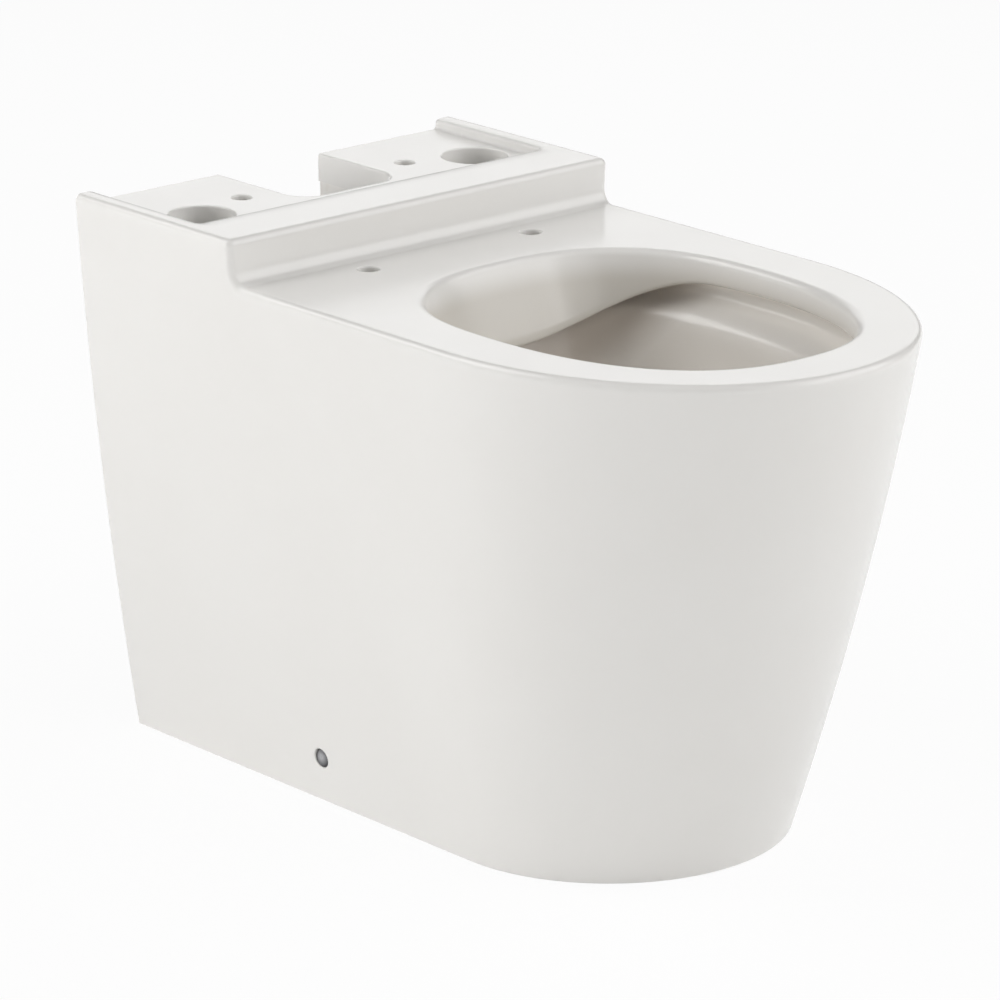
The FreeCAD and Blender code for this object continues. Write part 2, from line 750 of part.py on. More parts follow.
def outlet_ring():
    """Three fins with grooves between them on the inside of a plain ring."""
    groove = "outlet_seal_inner + outlet_seal_groove"
    valley = "((outlet_seal_length - 3 * outlet_seal_fin) / 2)"
    corners = [("outlet_seal_outer", "outlet_seal_length"), ("outlet_seal_outer", "0")]
    for fin in range(3):
        start = f"{fin} * (outlet_seal_fin + {valley})"
        corners += [("outlet_seal_inner", start), ("outlet_seal_inner", f"{start} + outlet_seal_fin")]
        if fin < 2:
            corners += [(groove, f"{start} + outlet_seal_fin + {valley} / 4"),
                        (groove, f"{start} + outlet_seal_fin + {valley} * 3 / 4")]
    place = ("0", "rear_y - outlet_end - connector_grip + connector_lip", "outlet_height")
    return turned("outlet_ring", corners, place, TOWARDS_WALL)


keep(connector(), "outlet_connector")
keep(outlet_ring(), "outlet_seal")


# Side fixing set, left side and mirrored. Distances along the axis run inward from the skirt's face.

FIX_PLACE = ("-side_fix_x", "rear_y - side_fix_from_wall", "side_fix_height")


def cover_cap():
    head = "side_fix_bore / 2 - fix_clearance"
    stem = "cap_stem_diameter / 2"
    corners = [("0", "cap_recess - cap_crown"), (f"({head}) / 2", "cap_recess - cap_crown * 3 / 4"),
               (f"{head} - cap_crown", "cap_recess"), (head, "cap_recess + cap_crown"),
               (head, "cap_head_end"), (stem, "cap_head_end"), (stem, "cap_stem_end"), ("0", "cap_stem_end")]
    return turned("cover_cap", corners, FIX_PLACE, INTO_LEFT_SIDE)


def bush():
    outside = "side_fix_bore / 2 - seat_gap"
    socket = "cap_stem_diameter / 2 + fix_clearance"
    hole = "screw_diameter / 2 + fix_clearance"
    corners = [(socket, "bush_start"), (outside, "bush_start"), (outside, "bush_end"), (hole, "bush_end"),
               (hole, "bush_seat"), (socket, "bush_seat")]
    return turned("bush", corners, FIX_PLACE, INTO_LEFT_SIDE)


def hexagon(flats):
    """The corners of a hexagon, by its width across the flats."""
    corner = f"({flats}) / sqrt(3)"
    half = f"({flats}) / 2"
    return [("0", corner), (f"-{half}", f"{corner} / 2"), (f"-{half}", f"-{corner} / 2"),
            ("0", f"-{corner}"), (half, f"-{corner} / 2"), (half, f"{corner} / 2")]


def side_screw():
    head = "screw_head_diameter / 2"
    shank = "screw_diameter / 2"
    corners = [("0", "bush_seat - screw_head_height"), (head, "bush_seat - screw_head_height"),
               (head, "bush_seat"), (shank, "bush_seat"), (shank, "screw_end"), ("0", "screw_end")]
    body = turned("side_screw", corners, FIX_PLACE, INTO_LEFT_SIDE)
    key = outline(body, "XY_Plane", hexagon("screw_key"))
    key.setExpression("AttachmentOffset.Base.z", bound("bush_seat - screw_head_height + screw_key_depth"))
    socket = body.newObject("PartDesign::Pocket", "side_screw_key")
    socket.Profile = key
    socket.Reversed = False
    bind(socket, Length="screw_key_depth")
    return body


def nut():
    body = document.addObject("PartDesign::Body", "nut")
    sketch = outline(body, "XY_Plane", hexagon("nut_flats"))
    circle(sketch, "screw_diameter + 2 * seat_gap")
    pad = body.newObject("PartDesign::Pad", "nut_pad")
    pad.Profile = sketch
    bind(pad, Length="nut_height")
    place = ("-side_fix_x + nut_start", FIX_PLACE[1], FIX_PLACE[2])
    return put(body, place, INTO_LEFT_SIDE)


def bracket():
    """A steel angle: foot on the floor, upright beside the skirt's inner face."""
    body = document.addObject("PartDesign::Body", "bracket")
    rise = "side_fix_height + bracket_head"
    thick = "bracket_thickness"
    angle = outline(body, "XZ_Plane", [("0", "0"), ("bracket_foot", "0"), ("bracket_foot", thick),
                                       (thick, thick), (thick, rise), ("0", rise)])
    pad = body.newObject("PartDesign::Pad", "bracket_pad")
    pad.Profile = angle
    pad.Midplane = True
    bind(pad, Length="bracket_width")
    document.recompute()
    corner = Vector(size(thick), 0, size(thick))
    distances = [edge.CenterOfMass.distanceToPoint(corner) for edge in pad.Shape.Edges]
    inside = distances.index(min(distances)) + 1
    bend_fillet = body.newObject("PartDesign::Fillet", "bracket_bend")
    bend_fillet.Base = (pad, [f"Edge{inside}"])
    bind(bend_fillet, Radius="bracket_bend")
    for name, plane, diameter, across, along in (
            ("bracket_screw_hole", "YZ_Plane", "screw_diameter + 2 * fix_clearance", "0", "side_fix_height"),
            ("bracket_floor_hole", "XY_Plane", "bracket_bore", "bracket_foot - bracket_bore_edge", "0")):
        sketch = blank_sketch(body, name + "_sketch", plane)
        circle(sketch, diameter, across, along)
        pocket = body.newObject("PartDesign::Pocket", name)
        pocket.Profile = sketch
        pocket.Type = "ThroughAll"
        pocket.Midplane = True
    return put(body, ("-bracket_face", FIX_PLACE[1], "0"))


cap = cover_cap()
keep(cap, "cap_left")
keep(mirrored(cap, "cap_other"), "cap_right")
pair(bush(), "side_bushes")
pair(side_screw(), "side_screws")
pair(nut(), "captive_nuts")
angle = bracket()
keep(angle, "floor_bracket_left")
keep(mirrored(angle, "bracket_other"), "floor_bracket_right")


# Every object has to have come out right before any file is written.

document.recompute()
for item in document.Objects:
    if "Invalid" in item.State or "Error" in item.State:
        raise RuntimeError(f"{item.Label} failed: {item.State}")
for part in parts:
    if part.Shape.isNull() or not part.Shape.isValid() or not part.Shape.Solids:
        raise RuntimeError(f"{part.Label} has no valid solid")

os.makedirs("parts", exist_ok=True)
for part in parts:
    part.Shape.exportStep(f"parts/{part.Label}.step")
    print(part.Label, len(part.Shape.Solids), "solid", round(part.Shape.Volume / 1000.0, 2), "cm3")
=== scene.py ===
import math

import bmesh
import bpy
import numpy as np
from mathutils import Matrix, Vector


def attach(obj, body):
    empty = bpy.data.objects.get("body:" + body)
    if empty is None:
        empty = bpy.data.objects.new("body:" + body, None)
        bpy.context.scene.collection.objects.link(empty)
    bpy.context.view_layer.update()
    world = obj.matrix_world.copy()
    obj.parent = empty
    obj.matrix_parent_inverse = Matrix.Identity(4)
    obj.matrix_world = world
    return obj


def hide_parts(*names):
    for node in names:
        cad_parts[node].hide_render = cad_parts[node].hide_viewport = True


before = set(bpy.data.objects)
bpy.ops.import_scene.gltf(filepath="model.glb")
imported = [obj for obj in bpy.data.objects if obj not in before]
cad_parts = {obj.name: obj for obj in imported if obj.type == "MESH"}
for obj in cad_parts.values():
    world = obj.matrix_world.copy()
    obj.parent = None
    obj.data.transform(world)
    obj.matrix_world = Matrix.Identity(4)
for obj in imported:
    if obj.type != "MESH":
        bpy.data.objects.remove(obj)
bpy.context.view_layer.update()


# Skirt: the outer wall of the pan, slip-cast vitreous china under a satin off-white glaze. It
# runs from the floor to the rim along both sides and round the front, is open at the back, and
# is drilled low on each side for a fixing screw.

SKIRT_SIZES = {
    "Length": 0.640,
    "Half width": 0.1875,
    "Foot setback": 0.11392,
    "Foot inset": 0.0495,
    "Side bow": 0.0055,
    "Front bow": 0.0075,
    "Nose at rim": 0.22592,
    "Nose at foot": 0.13504,
    "Full length height": 0.395,
    "Full width height": 0.429,
    "Wall": 0.012,
    "Height": 0.380,
}
BACK = 0.320
STRAIGHT_CELLS = 24
NOSE_CELLS = 96
ROUND_CELLS = 2 * STRAIGHT_CELLS + NOSE_CELLS
STRAIGHT_SHARE = STRAIGHT_CELLS / ROUND_CELLS
RISE_CELLS = 24
EDGE_CELLS = 2
WELD_GAP = 1e-6
DOUBLES_GAP = 1e-7
CREASE = math.radians(38)
QUARTER = math.pi / 2
DRIFT = (0.3, 0.7)
FIXING_FROM_WALL = 0.229
FIXING_HEIGHT = 0.036
FIXING_RADIUS = 0.0075
FIXING_LIP = 0.0011
FIXING_LIP_STEPS = 5
FIXING_STEPS = 40
FIXING_CELL = 0.026
SIDEWAYS = 0.5


def link_or_set(tree, socket, value):
    """Feeds a node's socket from another socket, or with a plain value."""
    if isinstance(value, bpy.types.NodeSocket):
        tree.links.new(value, socket)
    else:
        socket.default_value = value


def shader(name):
    """A new node material, its tree and its Principled shader."""
    material = bpy.data.materials.new(name)
    material.use_nodes = True
    return material, material.node_tree, material.node_tree.nodes["Principled BSDF"]


def object_space(tree):
    """The object's own coordinates."""
    return tree.nodes.new("ShaderNodeTexCoord").outputs["Object"]


def mapped(tree, **settings):
    """The object's own coordinates, moved, turned or scaled."""
    mapping = tree.nodes.new("ShaderNodeMapping")
    for name, value in settings.items():
        mapping.inputs[name].default_value = value
    tree.links.new(object_space(tree), mapping.inputs["Vector"])
    return mapping.outputs["Vector"]


def axes(tree, vector):
    """A vector's X, Y and Z."""
    apart = tree.nodes.new("ShaderNodeSeparateXYZ")
    tree.links.new(vector, apart.inputs["Vector"])
    return apart.outputs


def noise(tree, scale, detail, roughness=0.5, stretch=(1.0, 1.0, 1.0)):
    """Noise in the object's own space, at a scale per metre."""
    texture = tree.nodes.new("ShaderNodeTexNoise")
    texture.inputs["Scale"].default_value = scale
    texture.inputs["Detail"].default_value = detail
    texture.inputs["Roughness"].default_value = roughness
    tree.links.new(mapped(tree, Scale=stretch), texture.inputs["Vector"])
    return texture.outputs["Fac"]


def tinted(tree, amount, low, high, bounds=DRIFT):
    """A colour that drifts between two tints."""
    ramp = tree.nodes.new("ShaderNodeValToRGB")
    for element, position, colour in zip(ramp.color_ramp.elements, bounds, (low, high)):
        element.position = position
        element.color = (*colour, 1.0)
    tree.links.new(amount, ramp.inputs["Fac"])
    return ramp.outputs["Color"]


def spread(tree, amount, low, high, bounds=DRIFT, eased=False):
    """A number that drifts between two values."""
    span = tree.nodes.new("ShaderNodeMapRange")
    if eased:
        span.interpolation_type = "SMOOTHSTEP"
    limits = {"From Min": bounds[0], "From Max": bounds[1], "To Min": low, "To Max": high}
    for name, value in limits.items():
        span.inputs[name].default_value = value
    tree.links.new(amount, span.inputs["Value"])
    return span.outputs["Result"]


def coat(tree, principled, colour, roughness):
    """Gives a shader its drifting colour and roughness."""
    tree.links.new(colour, principled.inputs["Base Color"])
    tree.links.new(roughness, principled.inputs["Roughness"])


def relief(tree, principled, amount, strength, depth):
    """Fine relief on the surface."""
    bump = tree.nodes.new("ShaderNodeBump")
    bump.inputs["Strength"].default_value = strength
    bump.inputs["Distance"].default_value = depth
    tree.links.new(amount, bump.inputs["Height"])
    tree.links.new(bump.outputs["Normal"], principled.inputs["Normal"])


def satin_glaze(name, darker_tint, lighter_tint, painted_shading=None):
    """Satin glaze with a fine orange peel. Its colour is cloudy at random unless painted shading
    is given, which paints it darker and lighter by place.
    """
    material, tree, principled = shader(name)
    amount = painted_shading(tree) if painted_shading else noise(tree, scale=7.0, detail=3.0)
    gloss = noise(tree, scale=23.0, detail=2.0)
    coat(tree, principled, tinted(tree, amount, darker_tint, lighter_tint),
         spread(tree, gloss, low=0.20, high=0.238))
    principled.inputs["IOR"].default_value = 1.5
    relief(tree, principled, noise(tree, scale=160.0, detail=1.0), strength=0.03, depth=0.0002)
    return material


class Amount:
    """A number worked out by Math nodes, written as ordinary sums."""

    def __init__(self, tree, socket):
        self.tree = tree
        self.socket = socket

    def math(self, operation, *others, flipped=False):
        node = self.tree.nodes.new("ShaderNodeMath")
        node.operation = operation
        terms = [self, *others]
        if flipped:
            terms.reverse()
        for socket, term in zip(node.inputs, terms):
            link_or_set(self.tree, socket, term.socket if isinstance(term, Amount) else term)
        return Amount(self.tree, node.outputs[0])

    def __add__(self, other):
        return self.math("ADD", other)

    def __sub__(self, other):
        return self.math("SUBTRACT", other)

    def __rsub__(self, other):
        return self.math("SUBTRACT", other, flipped=True)

    def __mul__(self, other):
        return self.math("MULTIPLY", other)

    def __truediv__(self, other):
        return self.math("DIVIDE", other)

    def within_one(self):
        return self.math("MAXIMUM", 0.0).math("MINIMUM", 1.0)


def outline_at(size, height):
    """The pan's half width, and where its nose starts and ends, in plain numbers or in nodes."""
    rise = height / size["Full width height"]
    half = size["Half width"] - size["Foot inset"] * (1.0 - rise)
    half = half + size["Side bow"] * rise * (1.0 - rise) * 4.0
    climb = height / size["Full length height"]
    front = size["Length"] - size["Foot setback"] * (1.0 - climb)
    front = front + size["Front bow"] * climb * (1.0 - climb) * 4.0
    nose_foot = size["Length"] - size["Foot setback"] - size["Nose at foot"]
    nose_rim = size["Length"] - size["Nose at rim"]
    return half, nose_foot + (nose_rim - nose_foot) * climb, front


def side_reach(height):
    """Half the pan's width at a height."""
    return outline_at(SKIRT_SIZES, height)[0]


def skirt_tree():
    """Grids bent to the pan's outline: the wall's two faces, its foot, top and two back ends."""
    tree = bpy.data.node_groups.new("Skirt wall", "GeometryNodeTree")
    for name in SKIRT_SIZES:
        tree.interface.new_socket(name, in_out="INPUT", socket_type="NodeSocketFloat")
    tree.interface.new_socket("Glaze", in_out="INPUT", socket_type="NodeSocketMaterial")
    tree.interface.new_socket("Skirt", in_out="OUTPUT", socket_type="NodeSocketGeometry")
    entry = tree.nodes.new("NodeGroupInput")
    size = {name: Amount(tree, entry.outputs[name]) for name in SKIRT_SIZES}

    def place(around, height, inset):
        half, nose, front = outline_at(size, height)
        round_nose = (around - STRAIGHT_SHARE) / (1.0 - 2.0 * STRAIGHT_SHARE)
        turn = round_nose.within_one() * math.pi - QUARTER
        along = (around.math("MINIMUM", 1.0 - around) / STRAIGHT_SHARE).within_one()
        from_wall = nose * along + (front - inset - nose) * turn.math("COSINE")
        return (half - inset) * turn.math("SINE"), BACK - from_wall, height

    def patch(across, up, layout):
        grid = tree.nodes.new("GeometryNodeMeshGrid")
        grid.inputs["Vertices X"].default_value = across + 1
        grid.inputs["Vertices Y"].default_value = up + 1
        spot = axes(tree, grid.outputs["UV Map"])
        together = tree.nodes.new("ShaderNodeCombineXYZ")
        bent_to = place(*layout(Amount(tree, spot["X"]), Amount(tree, spot["Y"])))
        for socket, amount in zip(together.inputs, bent_to):
            tree.links.new(amount.socket, socket)
        bent = tree.nodes.new("GeometryNodeSetPosition")
        tree.links.new(grid.outputs["Mesh"], bent.inputs["Geometry"])
        tree.links.new(together.outputs["Vector"], bent.inputs["Position"])
        return bent.outputs["Geometry"]

    wall = size["Wall"]
    tall = size["Height"]
    patches = [
        patch(ROUND_CELLS, RISE_CELLS, lambda u, v: (u, v * tall, v * 0.0)),
        patch(ROUND_CELLS, RISE_CELLS, lambda u, v: (u, v * tall, wall + v * 0.0)),
        patch(ROUND_CELLS, EDGE_CELLS, lambda u, v: (u, v * 0.0, v * wall)),
        patch(ROUND_CELLS, EDGE_CELLS, lambda u, v: (u, tall + v * 0.0, v * wall)),
        patch(EDGE_CELLS, RISE_CELLS, lambda u, v: (u * 0.0, v * tall, u * wall)),
        patch(EDGE_CELLS, RISE_CELLS, lambda u, v: (u * 0.0 + 1.0, v * tall, u * wall)),
    ]
    join = tree.nodes.new("GeometryNodeJoinGeometry")
    for geometry in patches:
        tree.links.new(geometry, join.inputs["Geometry"])
    weld = tree.nodes.new("GeometryNodeMergeByDistance")
    weld.inputs["Distance"].default_value = WELD_GAP
    whole = tree.nodes.new("GeometryNodeRealizeInstances")
    glazed = tree.nodes.new("GeometryNodeSetMaterial")
    leave = tree.nodes.new("NodeGroupOutput")
    tree.links.new(join.outputs["Geometry"], weld.inputs["Geometry"])
    tree.links.new(weld.outputs["Geometry"], whole.inputs["Geometry"])
    tree.links.new(whole.outputs["Geometry"], glazed.inputs["Geometry"])
    tree.links.new(entry.outputs["Glaze"], glazed.inputs["Material"])
    tree.links.new(glazed.outputs["Geometry"], leave.inputs["Skirt"])
    return tree


def made_by_nodes(name, tree, values):
    """The plain mesh that a node tree gives for these values, as an object."""
    piece = bpy.data.objects.new(name, bpy.data.meshes.new(name))
    bpy.context.scene.collection.objects.link(piece)
    modifier = piece.modifiers.new(name, "NODES")
    modifier.node_group = tree
    for item in tree.interface.items_tree:
        if item.in_out == "INPUT":
            modifier[item.identifier] = values[item.name]
    bpy.context.view_layer.update()
    graph = bpy.context.evaluated_depsgraph_get()
    piece.data = bpy.data.meshes.new_from_object(piece.evaluated_get(graph), depsgraph=graph)
    piece.modifiers.clear()
    return piece


class Clay:
    """A china shell put together from rings of points, strips between them and flat plates."""

    def __init__(self, mesh=None):
        self.shape = bmesh.new()
        if mesh:
            self.shape.from_mesh(mesh)

    def ring(self, points):
        return [self.shape.verts.new(point) for point in points]

    def strip(self, first, second, closed=True):
        """Four-sided faces between two rings of the same count, or three-sided at a pole."""
        count = len(first) if closed else len(first) - 1
        for step in range(count):
            after = (step + 1) % len(first)
            corners = []
            for corner in (first[step], first[after], second[after], second[step]):
                if corner not in corners:
                    corners.append(corner)
            if len(corners) > 2:
                self.shape.faces.new(corners)

    def strips(self, rings, closed=True):
        for first, second in zip(rings, rings[1:]):
            self.strip(first, second, closed)

    def outline(self, loop):
        """The edges round a loop of points."""
        pairs = zip(loop, loop[1:] + loop[:1])
        return [self.shape.edges.get(pair) or self.shape.edges.new(pair) for pair in pairs]

    def fill(self, edges):
        bmesh.ops.triangle_fill(self.shape, edges=edges, use_beauty=True, use_dissolve=False)

    def plate(self, *loops):
        """A flat plate inside the first loop, with the other loops as holes in it."""
        self.fill([edge for loop in loops for edge in self.outline(loop)])

    def fired(self, name, material):
        """The finished shell: closed, facing outwards, smooth but for its sharp edges."""
        bmesh.ops.remove_doubles(self.shape, verts=self.shape.verts, dist=DOUBLES_GAP)
        bmesh.ops.recalc_face_normals(self.shape, faces=self.shape.faces)
        mesh = bpy.data.meshes.new(name)
        self.shape.to_mesh(mesh)
        self.shape.free()
        mesh.polygons.foreach_set("use_smooth", [True] * len(mesh.polygons))
        mesh.set_sharp_from_angle(angle=CREASE)
        mesh.materials.clear()
        mesh.materials.append(material)
        piece = bpy.data.objects.new(name, mesh)
        bpy.context.scene.collection.objects.link(piece)
        return piece


def eased_edge(radius, steps, start=0.0):
    """Steps round an eased edge: what is left of its width, and how far it has dropped."""
    return [(radius * (1 - math.sin(turn)), radius * (1 - math.cos(turn)))
            for turn in np.linspace(start, QUARTER, steps)]


def drill_side(skirt, sign):
    """Opens a cell of both faces round the fixing hole and closes it to a lipped bore."""
    middle = Vector((0.0, BACK - FIXING_FROM_WALL, FIXING_HEIGHT))

    def near(vertex):
        away = vertex.co - middle
        in_cell = abs(away.y) < FIXING_CELL and abs(away.z) < FIXING_CELL
        return in_cell and vertex.co.x * sign > 0

    cell = [face for face in skirt.shape.faces
            if abs(face.normal.x) > SIDEWAYS and all(near(vertex) for vertex in face.verts)]
    bmesh.ops.delete(skirt.shape, geom=cell, context="FACES")
    rims = [edge for edge in skirt.shape.edges
            if edge.is_boundary and all(near(end) for end in edge.verts)]
    wall = SKIRT_SIZES["Wall"]
    between = side_reach(FIXING_HEIGHT) - wall / 2
    angles = [2 * math.pi * step / FIXING_STEPS for step in range(FIXING_STEPS)]

    def circle(radius, depth):
        points = []
        for angle in angles:
            height = middle.z + radius * math.sin(angle)
            reach = side_reach(height) - depth
            points.append((sign * reach, middle.y + radius * math.cos(angle), height))
        return skirt.ring(points)

    lip = [circle(FIXING_RADIUS + left, drop)
           for left, drop in eased_edge(FIXING_LIP, FIXING_LIP_STEPS)]
    inner = circle(FIXING_RADIUS, wall)
    skirt.strips([*lip, inner])
    for ring, outer in ((lip[0], True), (inner, False)):
        rim = [edge for edge in rims if (abs(edge.verts[0].co.x) > between) == outer]
        skirt.fill(rim + skirt.outline(ring))


glaze = satin_glaze("satin_glaze", (0.800, 0.786, 0.760), (0.812, 0.800, 0.776))
wall = made_by_nodes("skirt_wall", skirt_tree(), {**SKIRT_SIZES, "Glaze": glaze})
skirt_clay = Clay(wall.data)
bpy.data.objects.remove(wall)
bmesh.ops.recalc_face_normals(skirt_clay.shape, faces=skirt_clay.shape.faces)
for side in (-1, 1):
    drill_side(skirt_clay, side)
skirt = skirt_clay.fired("skirt", glaze)
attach(skirt, "pan")
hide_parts("skirt_shell")


# Rim: the flat deck round the bowl's opening, cast with the apron that hangs at its back and
# hides the flush outlet. Its outer edge is rolled, the opening's edge is rolled wider, and two
# holes take the seat's hinges.

RIM_TOP = 0.400
RIM_BOTTOM = 0.380
RIM_ROLL = 0.0056
RIM_ROLL_STEPS = 8
RIM_WALL_SHARES = (0.0, 0.25, 0.5, 0.75)
SEAM_FROM_WALL = 0.195
SEAM_CELLS = 12
OPENING_ROLL = 0.007
OPENING_ROLL_STEPS = 10
OPENING_WALL_ROWS = 10
OPENING_HALF = 0.131
OPENING_REAR = 0.264
OPENING_FRONT = 0.588
OPENING_WIDEST = 0.40494
BACK_POWER = 2.55
FRONT_POWER = 2.35
EGG_STEPS = 192
REAR_LEAN = 0.4
SIDE_LEAN = 0.05
APRON_DROP = 0.0405
APRON_HALF = 0.125
APRON_POWER = 2.07
APRON_BLEND = 0.002
APRON_LIP = 0.003
APRON_THICK = 0.009
APRON_BACK_ROWS = 5
SEAT_HOLE = (0.080, 0.213, 0.008, 0.0015)  # across, from the wall, radius, ease
HOLE_STEPS = 36
HOLE_BORDER = 0.0008
EASE_STEPS = 6
FLAT_BORDER = 0.0015
SLOPE_STEP = 0.001
ROLL_ROUNDS = 4
# Heights of the painted shade on the opening's wall: its own colour above the first, painted
# darkest at the second.
APRON_SHADE_TOP = 0.3945
APRON_SHADE_DARKEST = 0.376
INSIDE_HALF = 0.145
INSIDE_LENGTH = 0.200
UP = np.array((0.0, 0.0, 1.0))
LEVEL = np.array((1.0, 1.0, 0.0))


def rim_line(heights):
    """Points along the pan's outline from the left seam round the nose to the right seam."""
    straight = np.linspace(0.0, 1.0, SEAM_CELLS, endpoint=False)
    turn = np.linspace(-QUARTER, QUARTER, NOSE_CELLS + 1)
    along = np.concatenate([straight, np.ones(len(turn)), straight[::-1]])
    turn = np.concatenate([np.full(SEAM_CELLS, -QUARTER), turn, np.full(SEAM_CELLS, QUARTER)])
    half, nose, front = outline_at(SKIRT_SIZES, heights)
    from_wall = SEAM_FROM_WALL + (nose - SEAM_FROM_WALL) * along + (front - nose) * np.cos(turn)
    return np.stack([half * np.sin(turn), BACK - from_wall, heights + 0.0 * turn], axis=1)


def egg(height, half, rear, widest, front, back_power, front_power):
    """A ring that is one superellipse behind its widest place and another in front of it."""
    angle = np.linspace(0.0, 2 * math.pi, EGG_STEPS, endpoint=False)
    across = np.cos(angle)
    ahead = np.sin(angle)
    power = np.where(ahead >= 0, front_power, back_power)
    reach = np.where(ahead >= 0, front - widest, widest - rear)
    x = half * np.sign(across) * np.abs(across) ** (2 / power)
    from_wall = widest + reach * np.sign(ahead) * np.abs(ahead) ** (2 / power)
    return np.stack([x, BACK - from_wall, height + 0.0 * angle], axis=1)


def opening_ring(heights):
    """The opening's wall: the rim's inner band, and the apron's face leaning out at the back."""
    depth = RIM_TOP - heights
    return egg(heights, OPENING_HALF - SIDE_LEAN * depth, OPENING_REAR + REAR_LEAN * depth,
               OPENING_WIDEST, OPENING_FRONT - SIDE_LEAN * depth, BACK_POWER, FRONT_POWER)


def unit(vectors):
    """Vectors brought to length one."""
    return vectors / np.linalg.norm(vectors, axis=-1, keepdims=True)


def wall_normals(line, heights, closed, inward):
    """Which way a wall faces along a line drawn on it."""
    points = line(heights)
    if closed:
        run = np.roll(points, -1, axis=0) - np.roll(points, 1, axis=0)
    else:
        run = np.gradient(points, axis=0)
    rise = line(heights + SLOPE_STEP) - line(heights - SLOPE_STEP)
    facing = unit(np.cross(run, rise))
    to_middle = points[:, :2].mean(axis=0) - points[:, :2]
    faces_middle = np.sum(facing[:, :2] * to_middle, axis=1) > 0
    return facing * np.where(faces_middle == inward, 1.0, -1.0)[:, None]


def arc(start, end, share):
    """A direction part of the way round from one to another."""
    angle = np.arccos(np.clip(np.sum(start * end, axis=-1, keepdims=True), -1.0, 1.0))
    return (np.sin((1 - share) * angle) * start + np.sin(share * angle) * end) / np.sin(angle)


def rolled_edge(line, top, radius, closed, inward, steps):
    """Rings of a rolled edge from a flat top to a wall, and the heights where it meets it."""
    heights = np.full(len(line(np.full(1, top))), top - radius)
    for _ in range(ROLL_ROUNDS):
        facing = wall_normals(line, heights, closed, inward)
        heights = top - radius + radius * facing[:, 2]
    centre = line(heights) - radius * facing
    rings = [centre + radius * arc(np.broadcast_to(UP, facing.shape), facing, share)
             for share in np.linspace(0.0, 1.0, steps + 1)]
    border = rings[0] - FLAT_BORDER * unit(facing * LEVEL)
    return [border, *rings], heights


def round_hole(clay, x, from_wall, radius, ease, top, bottom):
    """An eased round hole through a plate: its rings in the top plate and the bottom one."""
    angle = np.linspace(0.0, 2 * math.pi, HOLE_STEPS, endpoint=False)
    rows = [(radius + ease + HOLE_BORDER, top)]
    rows += [(radius + left, top - drop) for left, drop in eased_edge(ease, EASE_STEPS)]
    rows.append((radius, bottom))
    rings = []
    for reach, height in rows:
        points = np.stack([x + reach * np.cos(angle), BACK - from_wall + reach * np.sin(angle),
                           height + 0.0 * angle], axis=1)
        rings.append(clay.ring(points))
    clay.strips(rings)
    return rings[0], rings[-1]


def hole_pair(clay, hole, top, bottom):
    """The same hole left and right of the middle."""
    across, *sizes = hole
    return [round_hole(clay, sign * across, *sizes, top, bottom) for sign in (-1, 1)]


def apron_edge(x, from_wall):
    """Height of the opening's lower edge: level at the sides and front, dipping at the apron."""
    hang = APRON_DROP * (1 - (np.abs(x) / APRON_HALF) ** APRON_POWER)
    eased = (hang + np.sqrt(hang ** 2 + APRON_BLEND ** 2)) / 2
    return RIM_BOTTOM - np.where(from_wall < OPENING_WIDEST, eased, 0.0)


def apron_painted_shade(tree):
    """Painted shade on the opening's wall: its own colour at the roll, painted darker and warmer
    below it.
    """
    height = axes(tree, object_space(tree))["Z"]
    return spread(tree, height, *DRIFT, bounds=(APRON_SHADE_DARKEST, APRON_SHADE_TOP), eased=True)


rim_clay = Clay()
roll_rings, roll_start = rolled_edge(rim_line, RIM_TOP, RIM_ROLL, closed=False, inward=False,
                                     steps=RIM_ROLL_STEPS)
outer_rows = [rim_line(RIM_BOTTOM + (roll_start - RIM_BOTTOM) * share)
              for share in RIM_WALL_SHARES]
outer = [rim_clay.ring(row) for row in [*outer_rows, *roll_rings[::-1]]]
rim_clay.strips(outer, closed=False)

opening_rings, roll_end = rolled_edge(opening_ring, RIM_TOP, OPENING_ROLL, closed=True,
                                      inward=True, steps=OPENING_ROLL_STEPS)
level_ring = opening_ring(np.full(1, RIM_BOTTOM))
low = apron_edge(level_ring[:, 0], BACK - level_ring[:, 1])
ends = low + APRON_LIP
wall_rows = [opening_ring(roll_end + (ends - roll_end) * share)
             for share in np.linspace(0.0, 1.0, OPENING_WALL_ROWS + 1)[1:]]
facing = unit(wall_normals(opening_ring, ends, closed=True, inward=True) * LEVEL)
lip_turns = np.linspace(0.0, QUARTER, EASE_STEPS)
lip_rows = []
for turn in lip_turns[1:]:
    row = wall_rows[-1] - APRON_LIP * (1 - math.cos(turn)) * facing
    lip_rows.append(row - APRON_LIP * math.sin(turn) * UP)
lip_end = lip_rows[-1]
hang = np.clip((RIM_BOTTOM - low) / (2 * APRON_LIP), 0.0, 1.0)[:, None]
for turn in lip_turns:
    row = lip_end - (APRON_THICK - 2 * APRON_LIP + APRON_LIP * math.sin(turn)) * facing
    lip_rows.append(row + APRON_LIP * (1 - math.cos(turn)) * hang * UP)
back_foot = lip_rows[-1]
behind = opening_ring(np.full(EGG_STEPS, RIM_BOTTOM)) - APRON_THICK * facing
for share in np.linspace(0.0, 1.0, APRON_BACK_ROWS + 1)[1:]:
    lip_rows.append(back_foot + (behind - back_foot) * share)
inner = [rim_clay.ring(row) for row in [*opening_rings, *wall_rows, *lip_rows]]
rim_clay.strips(inner)

